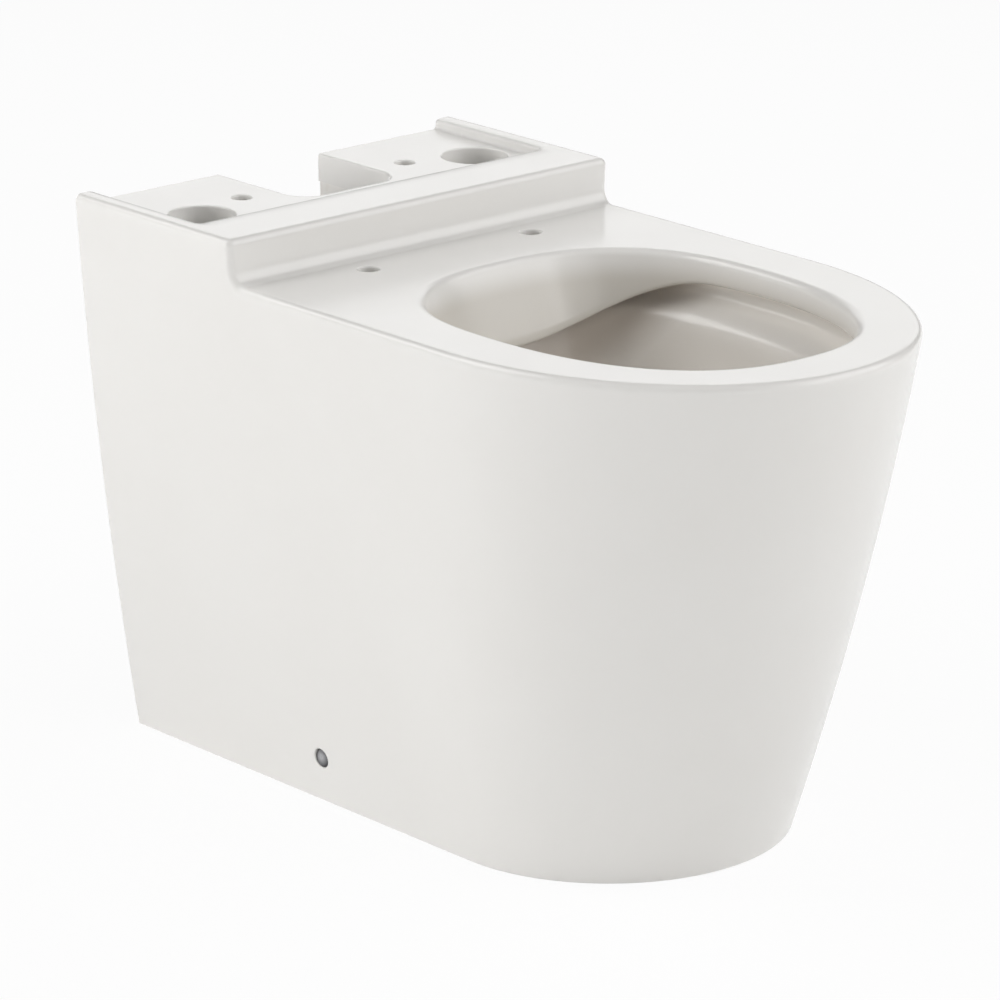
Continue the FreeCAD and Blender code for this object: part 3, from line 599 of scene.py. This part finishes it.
seat_holes = hole_pair(rim_clay, SEAT_HOLE, RIM_TOP, RIM_BOTTOM)
rim_clay.plate(outer[-1], inner[0], *[top for top, _ in seat_holes])
rim_clay.plate(outer[0], inner[-1], *[bottom for _, bottom in seat_holes])
rim_clay.plate([ring[0] for ring in outer] + [ring[-1] for ring in reversed(outer)])
rim = rim_clay.fired("rim", glaze)
# Below the roll, inside the opening, the wall takes a second glaze with painted shade, darker and
# warmer lower down.
rim.data.materials.append(satin_glaze("apron_painted_shade_glaze", (0.635, 0.608, 0.560),
                                      (0.806, 0.793, 0.768), apron_painted_shade))
for face in rim.data.polygons:
    across = face.center.x / INSIDE_HALF
    ahead = (face.center.y - BACK + OPENING_WIDEST) / INSIDE_LENGTH
    if face.center.z < APRON_SHADE_TOP and across ** 2 + ahead ** 2 < 1:
        face.material_index = 1
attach(rim, "pan")
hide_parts("rim_deck", "flush_apron")


# Cistern shelf: the raised ledge behind the seat, with a coved foot, upstands at both sides and
# a recessed shelf for the cistern, cast with the pan. The shelf is notched at the back and
# pierced by bolt holes and larger access holes.

LEDGE_TOP = 0.434
LEDGE_FRONT = 0.183
LEDGE_ROLL = 0.0056
LEDGE_ROLL_STEPS = 10
LEDGE_FACE_SHARES = (0.25, 0.5, 0.75)
LEDGE_TOP_ROWS = 13
COVE_DEPTH = 0.0108
COVE_HEIGHT = 0.0128
COVE_STEPS = 12
SIDE_WALL_SHARES = (0.25, 0.5, 0.75, 1.0)
SHELF_TOP = 0.426
SLAB_BOTTOM = 0.404
SHELF_WALL = 0.012
SHELF_FRONT_WALL = 0.171
RECESS_HALF = 0.170
RECESS_FRONT = 0.126
RECESS_CORNER = 0.005
SIDE_CROWN = 0.0055
FRONT_CROWN = 0.015
CROWN_STEPS = 7
RECESS_DIP = math.radians(17)
RECESS_EASE = 0.0026
RECESS_COVE = 0.0030
NOTCH_HALF = 0.049
NOTCH_DEPTH = 0.100
NOTCH_CORNER = 0.022
NOTCH_EASE = 0.0024
CORNER_STEPS = 10
CISTERN_HOLE = (0.081, 0.066, 0.0075, 0.0016)  # across, from the wall, radius, ease
ACCESS_HOLE = (0.1355, 0.086, 0.0258, 0.0013)


def ledge_profile():
    """The ledge from the seam to the back: wall distance, height and tilt of each row."""
    rows = [(SEAM_FROM_WALL, RIM_TOP, QUARTER)]
    for turn in np.linspace(0.0, QUARTER, COVE_STEPS):
        rows.append((LEDGE_FRONT + COVE_DEPTH * (1 - math.sin(turn)),
                     RIM_TOP + COVE_HEIGHT * (1 - math.cos(turn)),
                     math.atan2(COVE_DEPTH * math.cos(turn), COVE_HEIGHT * math.sin(turn))))
    foot = RIM_TOP + COVE_HEIGHT
    for share in LEDGE_FACE_SHARES:
        rows.append((LEDGE_FRONT, foot + (LEDGE_TOP - LEDGE_ROLL - foot) * share, 0.0))
    for turn in np.linspace(0.0, QUARTER, LEDGE_ROLL_STEPS):
        rows.append((LEDGE_FRONT - LEDGE_ROLL * (1 - math.cos(turn)),
                     LEDGE_TOP - LEDGE_ROLL * (1 - math.sin(turn)), turn))
    ledge_end = LEDGE_FRONT - LEDGE_ROLL - FLAT_BORDER
    for share in np.linspace(0.0, 1.0, LEDGE_TOP_ROWS):
        rows.append((ledge_end * (1 - share), LEDGE_TOP, QUARTER))
    return rows


def side_slope(height):
    """How fast the pan widens with height."""
    widening = side_reach(height + SLOPE_STEP) - side_reach(height - SLOPE_STEP)
    return widening / (2 * SLOPE_STEP)


def ledge_side(clay, rows, sign):
    """The rolled side edge that follows the ledge's profile, and the side wall below it."""
    columns = []
    for number, (from_wall, height, tilt) in enumerate(rows):
        out = np.array((0.0, -math.cos(tilt), math.sin(tilt)))
        centre_height = height - RIM_ROLL * out[2]
        slope = side_slope(centre_height)
        facing = unit(np.array((1.0, 0.0, -slope)))
        centre_x = side_reach(centre_height) - RIM_ROLL * math.sqrt(1 + slope * slope)
        centre = np.array((centre_x, BACK - from_wall, height)) - RIM_ROLL * out
        roll = [centre + RIM_ROLL * arc(out, facing, share)
                for share in np.linspace(0.0, 1.0, RIM_ROLL_STEPS + 1)]
        roll.insert(0, roll[0] - np.array((FLAT_BORDER, 0.0, 0.0)))
        _, roll_y, roll_z = roll[-1]
        base_from_wall = SEAM_FROM_WALL * (1 - number / (len(rows) - 1))
        foot = []
        for share in SIDE_WALL_SHARES:
            down = roll_z + (RIM_BOTTOM - roll_z) * share
            back = (BACK - roll_y) * (1 - share) + base_from_wall * share
            foot.append((side_reach(down), BACK - back, down))
        columns.append(clay.ring([(sign * x, y, z) for x, y, z in [*roll, *foot]]))
    clay.strips(columns, closed=False)
    return columns


def bay(half, front, corner, grow, height):
    """A line round a bay that is open at the back, grown sideways and forwards."""
    aside, ahead = grow
    points = [(-half - aside, 0.0)]
    for centre_x, start in ((-(half - corner), math.pi), (half - corner, QUARTER)):
        for angle in np.linspace(start, start - QUARTER, CORNER_STEPS + 1):
            points.append((centre_x + (corner + aside) * math.cos(angle),
                           front - corner + (corner + ahead) * math.sin(angle)))
    points.append((half + aside, 0.0))
    return [(x, BACK - from_wall, height) for x, from_wall in points]


def recess_edge():
    """The recess's edge from the ledge's crown over its ease and cove to the shelf."""
    ease = eased_edge(RECESS_EASE, EASE_STEPS, RECESS_DIP)
    start, dipped = ease[0]
    crown_drop = SIDE_CROWN * math.tan(RECESS_DIP / 2)
    rows = [((start + SIDE_CROWN + FLAT_BORDER, start + FRONT_CROWN + FLAT_BORDER), LEDGE_TOP)]
    for turn in np.linspace(0.0, RECESS_DIP, CROWN_STEPS):
        left = 1 - math.sin(turn) / math.sin(RECESS_DIP)
        sunk = (1 - math.cos(turn)) / (1 - math.cos(RECESS_DIP))
        rows.append(((start + SIDE_CROWN * left, start + FRONT_CROWN * left),
                     LEDGE_TOP - crown_drop * sunk))
    for left, drop in ease[1:]:
        rows.append(((left, left), LEDGE_TOP - crown_drop - (drop - dipped)))
    for left, drop in eased_edge(RECESS_COVE, EASE_STEPS):
        rows.append(((-drop, -drop), SHELF_TOP + left))
    rows.append(((-RECESS_COVE - FLAT_BORDER, -RECESS_COVE - FLAT_BORDER), SHELF_TOP))
    return rows


shelf_clay = Clay()
profile = ledge_profile()
left = ledge_side(shelf_clay, profile, -1)
right = ledge_side(shelf_clay, profile, 1)
crest = len(profile) - LEDGE_TOP_ROWS
shelf_clay.strips([(left[row][0], right[row][0]) for row in range(crest + 1)], closed=False)

recess = [shelf_clay.ring(bay(RECESS_HALF, RECESS_FRONT, RECESS_CORNER, grow, height))
          for grow, height in recess_edge()]
shelf_clay.strips(recess, closed=False)

notch_rows = [(NOTCH_EASE + FLAT_BORDER, SHELF_TOP)]
notch_rows += [(grow, SHELF_TOP - drop) for grow, drop in eased_edge(NOTCH_EASE, EASE_STEPS)]
notch_rows.append((0.0, SLAB_BOTTOM))
notch = [shelf_clay.ring(bay(NOTCH_HALF, NOTCH_DEPTH, NOTCH_CORNER, (grow, grow), height))
         for grow, height in notch_rows]
shelf_clay.strips(notch, closed=False)

holes = [pair for hole in (CISTERN_HOLE, ACCESS_HOLE)
         for pair in hole_pair(shelf_clay, hole, SHELF_TOP, SLAB_BOTTOM)]
ledge_left = [column[0] for column in left[crest:]]
ledge_right = [column[0] for column in right[crest:]]
shelf_clay.plate(ledge_left + recess[0] + ledge_right[::-1])
shelf_clay.plate(recess[-1] + notch[0][::-1], *[top for top, _ in holes])

inner_wall = []
for height in (SLAB_BOTTOM, RIM_BOTTOM):
    reach = side_reach(height) - SHELF_WALL
    front = BACK - SHELF_FRONT_WALL
    inner_wall.append(shelf_clay.ring([(-reach, BACK, height), (-reach, front, height),
                                       (reach, front, height), (reach, BACK, height)]))
shelf_clay.strips(inner_wall, closed=False)
shelf_clay.plate(inner_wall[0] + notch[-1][::-1], *[bottom for _, bottom in holes])
base_left = [column[-1] for column in left]
base_right = [column[-1] for column in right]
shelf_clay.plate(base_left + inner_wall[1] + base_right[::-1])
shelf_clay.plate(left[0] + right[0][::-1])
for column, end in ((left[-1], 0), (right[-1], -1)):
    wall_end = [inner_wall[1][end], inner_wall[0][end]]
    bay_ends = [ring[end] for ring in notch[::-1]] + [ring[end] for ring in recess[::-1]]
    shelf_clay.plate(column + wall_end + bay_ends)
shelf = shelf_clay.fired("cistern_ledge", glaze)
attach(shelf, "pan")
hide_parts("cistern_shelf")


# Bowl: the inner basin, cast with the pan. A water shelf runs round below the rim, and the
# sides fall to the sump's round outlet. The flush comes through a slot in its back wall, behind
# the apron.

SUMP_HEIGHT = 0.111
SUMP_FROM_WALL = 0.345
SUMP_RADIUS = 0.040
ROUND_POWER = 2.0
BOWL_WALL = 0.010
BOWL_HALF = 0.143
BOWL_REAR = 0.248
BOWL_FRONT = 0.600
BASIN_ROWS = 48
WATER_SHELF_FOOT = 0.345
WATER_SHELF_ROWS = 40
SLOT_HALF = 0.060
SLOT_LOW = 0.354
SLOT_HIGH = 0.378
# The bowl's painted shade and light run along a leaning direction: painted darkest at the first
# place, painted lightest at the second.
BOWL_SHADE_LEAN = math.radians(40)
BOWL_SHADE_DARKEST_AT = 0.2405
BOWL_LIGHT_FULLEST_AT = 0.2035
BOWL_SHADE_MOTTLE = 0.03
BOWL_SPREAD = np.array((
    # height, sides, back, front: how far each has spread from the sump to the top
    (0.111, 0.000, 0.000, 0.000),
    (0.128, 0.028, 0.012, 0.048),
    (0.151, 0.090, 0.035, 0.140),
    (0.201, 0.280, 0.140, 0.410),
    (0.251, 0.460, 0.316, 0.637),
    (0.300, 0.620, 0.580, 0.811),
    (0.330, 0.705, 0.770, 0.893),
    (0.344, 0.738, 0.850, 0.923),
    (0.3495, 0.756, 0.880, 0.935),
    (0.3530, 0.776, 0.899, 0.943),
    (0.3560, 0.808, 0.915, 0.951),
    (0.3590, 0.856, 0.935, 0.962),
    (0.3630, 0.920, 0.962, 0.979),
    (0.3685, 0.975, 0.988, 0.994),
    (0.3760, 1.000, 1.000, 1.000),
    (0.380, 1.000, 1.000, 1.000),
))


def smooth_through(places, values, at):
    """A smooth curve through a table that never overshoots it."""
    step = np.diff(places)
    slope = np.diff(values) / step
    tangent = np.zeros(len(values))
    same_way = slope[:-1] * slope[1:] > 0
    both = np.where(same_way, slope[:-1] + slope[1:], 1.0)
    tangent[1:-1] = np.where(same_way, 2 * slope[:-1] * slope[1:] / both, 0.0)
    tangent[0] = slope[0]
    tangent[-1] = slope[-1]
    cell = np.clip(np.searchsorted(places, at, side="right") - 1, 0, len(step) - 1)
    share = (at - places[cell]) / step[cell]
    square = share * share
    cube = square * share
    near = (2 * cube - 3 * square + 1) * values[cell]
    far = (3 * square - 2 * cube) * values[cell + 1]
    leaving = (cube - 2 * square + share) * step[cell] * tangent[cell]
    arriving = (cube - square) * step[cell] * tangent[cell + 1]
    return near + leaving + far + arriving


def bowl_ring(height, outward):
    """The bowl's ring at a height, on its inner face or further out."""
    heights, *spreads = BOWL_SPREAD.T
    side, back, ahead = (smooth_through(heights, spread_so_far, height)
                         for spread_so_far in spreads)
    half = SUMP_RADIUS + (BOWL_HALF - SUMP_RADIUS) * side + outward
    sump_rear = SUMP_FROM_WALL - SUMP_RADIUS
    sump_front = SUMP_FROM_WALL + SUMP_RADIUS
    return egg(height, half, sump_rear - (sump_rear - BOWL_REAR) * back - outward,
               SUMP_FROM_WALL + (OPENING_WIDEST - SUMP_FROM_WALL) * side,
               sump_front + (BOWL_FRONT - sump_front) * ahead + outward,
               ROUND_POWER + (BACK_POWER - ROUND_POWER) * side,
               ROUND_POWER + (FRONT_POWER - ROUND_POWER) * side)


def cell_face(shell, row, step):
    """The face of a shell between two rows and two columns."""
    opposite = shell[row + 1][step + 1]
    return next(face for face in shell[row][step].link_faces if opposite in face.verts)


def bowl_painted_shade_and_light(tree):
    """Painted shade and light in the bowl: painted dark and warm in the undercut at the back,
    painted lighter forwards and down, with faint clouds.
    """
    along = axes(tree, mapped(tree, Rotation=(-BOWL_SHADE_LEAN, 0.0, 0.0)))["Y"]
    painted_gradient = spread(tree, along, *DRIFT, bounds=(BOWL_SHADE_DARKEST_AT, BOWL_LIGHT_FULLEST_AT), eased=True)
    clouds = Amount(tree, noise(tree, scale=9.0, detail=3.0)) * BOWL_SHADE_MOTTLE
    return (clouds + Amount(tree, painted_gradient)).socket


bowl_clay = Clay()
lower = np.linspace(SUMP_HEIGHT, WATER_SHELF_FOOT, BASIN_ROWS, endpoint=False)
upper = np.linspace(WATER_SHELF_FOOT, RIM_BOTTOM, WATER_SHELF_ROWS)
bowl_heights = np.concatenate([lower, upper])
inside = [bowl_clay.ring(bowl_ring(height, 0.0)) for height in bowl_heights]
outside = [bowl_clay.ring(bowl_ring(height, BOWL_WALL)) for height in bowl_heights]
bowl_clay.strips(inside)
bowl_clay.strips(outside)
bowl_clay.strip(inside[0], outside[0])
bowl_clay.strip(inside[-1], outside[-1])

slot_rows = [row for row, height in enumerate(bowl_heights) if SLOT_LOW < height < SLOT_HIGH]
slot_columns = [step for step, point in enumerate(inside[-1])
                if abs(point.co.x) < SLOT_HALF and point.co.y > 0]
in_slot = [cell_face(shell, row, step) for shell in (inside, outside)
           for row in slot_rows[:-1] for step in slot_columns[:-1]]
bmesh.ops.delete(bowl_clay.shape, geom=in_slot, context="FACES")
slot_edge = [(slot_rows[0], step) for step in slot_columns]
slot_edge += [(row, slot_columns[-1]) for row in slot_rows[1:]]
slot_edge += [(slot_rows[-1], step) for step in slot_columns[-2::-1]]
slot_edge += [(row, slot_columns[0]) for row in slot_rows[-2:0:-1]]
bowl_clay.strip([inside[row][step] for row, step in slot_edge],
                [outside[row][step] for row, step in slot_edge])

# The bowl's glaze carries painted shade at the back under the apron and painted light lower down
# and forwards.
bowl_painted_shade_glaze = satin_glaze("bowl_painted_shade_glaze", (0.560, 0.506, 0.450), (0.890, 0.858, 0.812), bowl_painted_shade_and_light)
bowl = bowl_clay.fired("bowl", bowl_painted_shade_glaze)
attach(bowl, "pan")
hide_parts("bowl_basin")


# Hidden china: the webs under the shelf, the flush chamber and its inlet, the trap's bends and
# the outlet. They are cast with the pan and get only a thin, matt coat of glaze, so the warm
# clay shows through it in clouds.

HIDDEN_CHINA = ("shelf_web_left", "shelf_web_right", "flush_chamber", "flush_inlet",
                "trap_dip_bend", "trap_rise_bend", "trap_weir_bend", "outlet_spigot")


def thin_glaze():
    """A thin coat of matt glaze, with the clay showing through."""
    material, tree, principled = shader("thin_glaze")
    clouds = noise(tree, scale=26.0, detail=4.0, roughness=0.6)
    colour = tinted(tree, clouds, (0.705, 0.672, 0.620), (0.790, 0.772, 0.742),
                    bounds=(0.36, 0.58))
    gloss = noise(tree, scale=60.0, detail=2.0)
    coat(tree, principled, colour, spread(tree, gloss, low=0.48, high=0.66))
    relief(tree, principled, noise(tree, scale=700.0, detail=2.0), strength=0.12, depth=0.0003)
    return material


def dress(names, material):
    """Gives pieces that keep their own solids a finish."""
    for name in names:
        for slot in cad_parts[name].material_slots:
            slot.material = material


dress(HIDDEN_CHINA, thin_glaze())


# Rubber seals: the lip seal pressed into the flush inlet and the finned ring inside the pan
# connector. Both are moulded in black rubber with a dusty bloom.

def seal_rubber():
    """Black rubber, greyed in patches by its bloom."""
    material, tree, principled = shader("seal_rubber")
    bloom = noise(tree, scale=90.0, detail=4.0, roughness=0.65)
    colour = tinted(tree, bloom, (0.018, 0.018, 0.020), (0.052, 0.051, 0.050),
                    bounds=(0.40, 0.75))
    coat(tree, principled, colour, spread(tree, bloom, low=0.52, high=0.74))
    relief(tree, principled, noise(tree, scale=1600.0, detail=1.0), strength=0.2, depth=0.0002)
    return material


dress(("flush_inlet_seal", "outlet_seal"), seal_rubber())


# Pan connector: a push-on sleeve moulded in white polypropylene, with a socket over the china
# outlet and a plain tail for the soil pipe. It slides back along the outlet when it is pulled
# off.

ROUGHNESS_DRIFT = 0.10


def moulded_plastic(name, low, high, roughness):
    """Moulded plastic with a faintly spark-eroded skin."""
    material, tree, principled = shader(name)
    skin = noise(tree, scale=140.0, detail=3.0)
    coat(tree, principled, tinted(tree, noise(tree, scale=35.0, detail=2.0), low, high),
         spread(tree, skin, roughness, roughness + ROUGHNESS_DRIFT))
    relief(tree, principled, noise(tree, scale=2200.0, detail=1.0), strength=0.15, depth=0.0001)
    return material


dress(("outlet_connector",), moulded_plastic("white_polypropylene", (0.73, 0.735, 0.73),
                                             (0.77, 0.775, 0.765), roughness=0.36))


# Side fixings: on each side a zinc-plated angle bracket stands on the floor inside the skirt,
# with a captive nut. A screw through a nylon bush in the skirt's hole draws the pan down on to
# it.

def zinc_plate():
    """Zinc plate: dull grey spangle with faint drawn lines."""
    material, tree, principled = shader("zinc_plate")
    principled.inputs["Metallic"].default_value = 1.0
    spangle = noise(tree, scale=240.0, detail=3.0, roughness=0.6)
    colour = tinted(tree, spangle, (0.50, 0.51, 0.52), (0.66, 0.67, 0.68), bounds=(0.38, 0.62))
    gloss = noise(tree, scale=120.0, detail=4.0)
    coat(tree, principled, colour, spread(tree, gloss, low=0.30, high=0.48))
    drawn = noise(tree, scale=500.0, detail=3.0, roughness=0.6, stretch=(1.0, 0.06, 1.0))
    relief(tree, principled, drawn, strength=0.10, depth=0.0002)
    return material


dress(("floor_bracket_left", "floor_bracket_right", "side_screws", "captive_nuts"), zinc_plate())
dress(("side_bushes",), moulded_plastic("natural_nylon", (0.66, 0.645, 0.60),
                                        (0.71, 0.70, 0.655), roughness=0.42))


# Cover caps: turned metal buttons with a low dome, bright plated, one over each side screw. A
# short stem holds each in its bush by friction, and it pulls straight out of the hole by hand.

CAP_RADIUS = 0.0073
CAP_SINK = 0.0003
CAP_DOME = 0.0012
CAP_DOME_STEPS = 9
CAP_EDGE = 0.0005
CAP_EDGE_STEPS = 5
CAP_HEAD_END = 0.0033
CAP_STEM_RADIUS = 0.0053
CAP_STEM_END = 0.0063
CAP_CHAMFER = 0.0005
CAP_STEPS = 48
# Reach of each cap's painted highlight, and how far above the hole's middle it is painted.
CAP_HIGHLIGHT_REACH = 0.0088
CAP_HIGHLIGHT_RAISE = 0.0012


def plating_with_painted_highlight():
    """Plating on a turned face, finely ringed, with a painted highlight in the middle, raised a
    little, and painted dark at the edge.
    """
    material, tree, principled = shader("plating_painted_highlight")
    principled.inputs["Metallic"].default_value = 1.0
    per_highlight_reach = 1.0 / CAP_HIGHLIGHT_REACH
    off_back = (FIXING_FROM_WALL - BACK) * per_highlight_reach
    off_floor = -(FIXING_HEIGHT + CAP_HIGHLIGHT_RAISE) * per_highlight_reach
    centred = mapped(tree, Scale=(0.0, per_highlight_reach, per_highlight_reach),
                     Location=(0.0, off_back, off_floor))
    painted_highlight = tree.nodes.new("ShaderNodeTexGradient")
    painted_highlight.gradient_type = "SPHERICAL"
    rings = tree.nodes.new("ShaderNodeTexWave")
    rings.wave_type = "RINGS"
    rings.rings_direction = "X"
    rings.inputs["Scale"].default_value = 3.4
    rings.inputs["Distortion"].default_value = 0.4
    tree.links.new(centred, painted_highlight.inputs["Vector"])
    tree.links.new(centred, rings.inputs["Vector"])
    colour = tinted(tree, painted_highlight.outputs["Fac"], (0.045, 0.045, 0.047), (0.40, 0.40, 0.41),
                    bounds=(0.10, 0.80))
    gloss = noise(tree, scale=900.0, detail=2.0)
    coat(tree, principled, colour, spread(tree, gloss, low=0.20, high=0.262))
    relief(tree, principled, rings.outputs["Fac"], strength=0.35, depth=0.0001)
    return material


def cap_profile():
    """Radius and depth below the skirt's face, from the dome round to the end of the stem."""
    sphere = (CAP_RADIUS ** 2 + CAP_DOME ** 2) / (2 * CAP_DOME)
    steepest = math.asin((CAP_RADIUS - CAP_EDGE) / sphere)
    rows = [(sphere * math.sin(turn), CAP_SINK + sphere * (1 - math.cos(turn)))
            for turn in np.linspace(0.0, steepest, CAP_DOME_STEPS)[1:]]
    brow = rows[-1][1]
    rows += [(CAP_RADIUS - left, brow + drop)
             for left, drop in eased_edge(CAP_EDGE, CAP_EDGE_STEPS, steepest)[1:]]
    rows += [(CAP_RADIUS, CAP_HEAD_END), (CAP_STEM_RADIUS, CAP_HEAD_END),
             (CAP_STEM_RADIUS, CAP_STEM_END - CAP_CHAMFER),
             (CAP_STEM_RADIUS - CAP_CHAMFER, CAP_STEM_END)]
    return rows


def cover_cap(name, sign, material):
    """One cap, turned round the middle of its fixing hole."""
    clay = Clay()
    face = side_reach(FIXING_HEIGHT)
    angles = np.linspace(0.0, 2 * math.pi, CAP_STEPS, endpoint=False)

    def point(radius, depth, angle):
        return (sign * (face - depth), BACK - FIXING_FROM_WALL + radius * math.cos(angle),
                FIXING_HEIGHT + radius * math.sin(angle))

    crown = clay.ring([point(0.0, CAP_SINK, 0.0)]) * CAP_STEPS
    rings = [clay.ring([point(radius, depth, angle) for angle in angles])
             for radius, depth in cap_profile()]
    tail = clay.ring([point(0.0, CAP_STEM_END, 0.0)]) * CAP_STEPS
    clay.strips([crown, *rings, tail])
    return clay.fired(name, material)


plating = plating_with_painted_highlight()
for side, sign in (("left", -1), ("right", 1)):
    cap = cover_cap(side + "_cover_cap", sign, plating)
    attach(cap, side + "_cap")
    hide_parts("cap_" + side)


# Studio: a plain pale floor, seven soft lamps and a dim room, and the camera where the picture
# was taken from. The floor is seen white, but keeps its own shade inside the skirt. The low
# lamp at the left isn't mirrored, so that the rim doesn't burn out in views from the right.

ROOM_COLOUR = (1.0, 0.995, 0.985, 1.0)
ROOM_LEVEL = 0.02
CEILING_LEVEL = 0.05
FLOOR_REACH = 80.0
FLOOR_COLOUR = (0.86, 0.86, 0.86, 1.0)
WHITE_SHARE = 0.93
SHADE_EDGE = 0.016
SHADE_FADE = 0.110
LAMPS = (
    # name, place, height aimed at, width, height, power, mirrored
    ("rear_softbox", (1.95, 2.15, 1.42), 0.40, 3.2, 1.2, 19.2, True),
    ("back_left_softbox", (-1.3, 1.5, 2.30), 0.30, 1.9, 1.6, 37.0, True),
    ("left_softbox", (-2.7, 0.45, 0.56), 0.20, 2.8, 0.9, 27.0, False),
    ("low_left_softbox", (-2.1, 2.20, 0.90), 0.20, 1.8, 1.2, 8.0, True),
    ("right_softbox", (1.65, -1.70, 2.10), 0.30, 3.0, 2.4, 63.0, True),
    ("front_softbox", (0.2, -2.8, 1.50), 0.25, 2.2, 1.0, 9.5, True),
    ("front_left_softbox", (-1.6, -2.5, 0.50), 0.20, 2.8, 0.8, 15.0, True),
)
CAMERA_PLACE = (-2.56973, -2.84633, 1.45548)
CAMERA_DIP = 0.309368
CAMERA_TURN = -0.725455
CAMERA_LENS = 195.48
CAMERA_SENSOR = 36.0
CAMERA_END = 250.0


def open_floor(tree):
    """1 where the floor lies open, falling to 0 inside the skirt, where its own shade shows."""
    foot_half, foot_nose, _ = outline_at(SKIRT_SIZES, 0.0)
    place = axes(tree, object_space(tree))
    across, back = Amount(tree, place["X"]), Amount(tree, place["Y"])
    ahead = (back - (BACK - foot_nose)).math("MINIMUM", 0.0)
    reach = (across * across + ahead * ahead).math("SQRT")
    beyond_wall = ((reach - foot_half) / SHADE_EDGE + 1.0).within_one()
    beyond_back = ((back - BACK) / SHADE_FADE + 1.0).within_one()
    return beyond_wall.math("MAXIMUM", beyond_back)


def studio_floor():
    """A wide matt floor, seen white by the camera and in mirrors."""
    mesh = bpy.data.meshes.new("floor")
    corners = [(x * FLOOR_REACH, y * FLOOR_REACH, 0.0)
               for x, y in ((-1, -1), (1, -1), (1, 1), (-1, 1))]
    mesh.from_pydata(corners, [], [(0, 1, 2, 3)])
    floor = bpy.data.objects.new("floor", mesh)
    bpy.context.scene.collection.objects.link(floor)
    material = bpy.data.materials.new("pale_floor")
    material.use_nodes = True
    tree = material.node_tree
    tree.nodes.clear()
    matt = tree.nodes.new("ShaderNodeBsdfDiffuse")
    matt.inputs["Color"].default_value = FLOOR_COLOUR
    white = tree.nodes.new("ShaderNodeEmission")
    path = tree.nodes.new("ShaderNodeLightPath")
    seen = Amount(tree, path.outputs["Is Camera Ray"]) * open_floor(tree)
    for ray in ("Is Glossy Ray", "Is Transmission Ray"):
        seen = seen.math("MAXIMUM", Amount(tree, path.outputs[ray]))
    white_share = seen * WHITE_SHARE
    mix = tree.nodes.new("ShaderNodeMixShader")
    out = tree.nodes.new("ShaderNodeOutputMaterial")
    tree.links.new(white_share.socket, mix.inputs["Fac"])
    tree.links.new(matt.outputs["BSDF"], mix.inputs[1])
    tree.links.new(white.outputs["Emission"], mix.inputs[2])
    tree.links.new(mix.outputs["Shader"], out.inputs["Surface"])
    mesh.materials.append(material)
    return floor


def studio_world():
    """Soft light from the whole room, dimmer at eye level than overhead."""
    world = bpy.data.worlds.new("studio")
    world.use_nodes = True
    tree = world.node_tree
    room = tree.nodes["Background"]
    room.inputs["Color"].default_value = ROOM_COLOUR
    place = tree.nodes.new("ShaderNodeTexCoord")
    upward = axes(tree, place.outputs["Generated"])["Z"]
    level = spread(tree, upward, ROOM_LEVEL, CEILING_LEVEL, bounds=(0.0, 1.0), eased=True)
    tree.links.new(level, room.inputs["Strength"])
    bpy.context.scene.world = world


def studio_lamp(name, place, aimed_at, width, height, power, mirrored):
    """A soft rectangular lamp, turned towards the pan."""
    lamp = bpy.data.lights.new(name, "AREA")
    lamp.shape = "RECTANGLE"
    lamp.size = width
    lamp.size_y = height
    lamp.energy = power
    stand = bpy.data.objects.new(name, lamp)
    stand.location = place
    towards = Vector((0.0, 0.0, aimed_at)) - Vector(place)
    stand.rotation_euler = towards.to_track_quat("-Z", "Y").to_euler()
    stand.visible_glossy = mirrored
    bpy.context.scene.collection.objects.link(stand)


floor = studio_floor()
studio_world()
for lamp in LAMPS:
    studio_lamp(*lamp)

lens = bpy.data.cameras.new("camera")
lens.sensor_width = CAMERA_SENSOR
lens.lens = CAMERA_LENS
lens.clip_end = CAMERA_END
camera = bpy.data.objects.new("camera", lens)
camera.location = CAMERA_PLACE
camera.rotation_euler = (QUARTER - CAMERA_DIP, 0.0, CAMERA_TURN)
bpy.context.scene.collection.objects.link(camera)
bpy.context.scene.camera = camera
bpy.context.scene.view_settings.view_transform = "Standard"
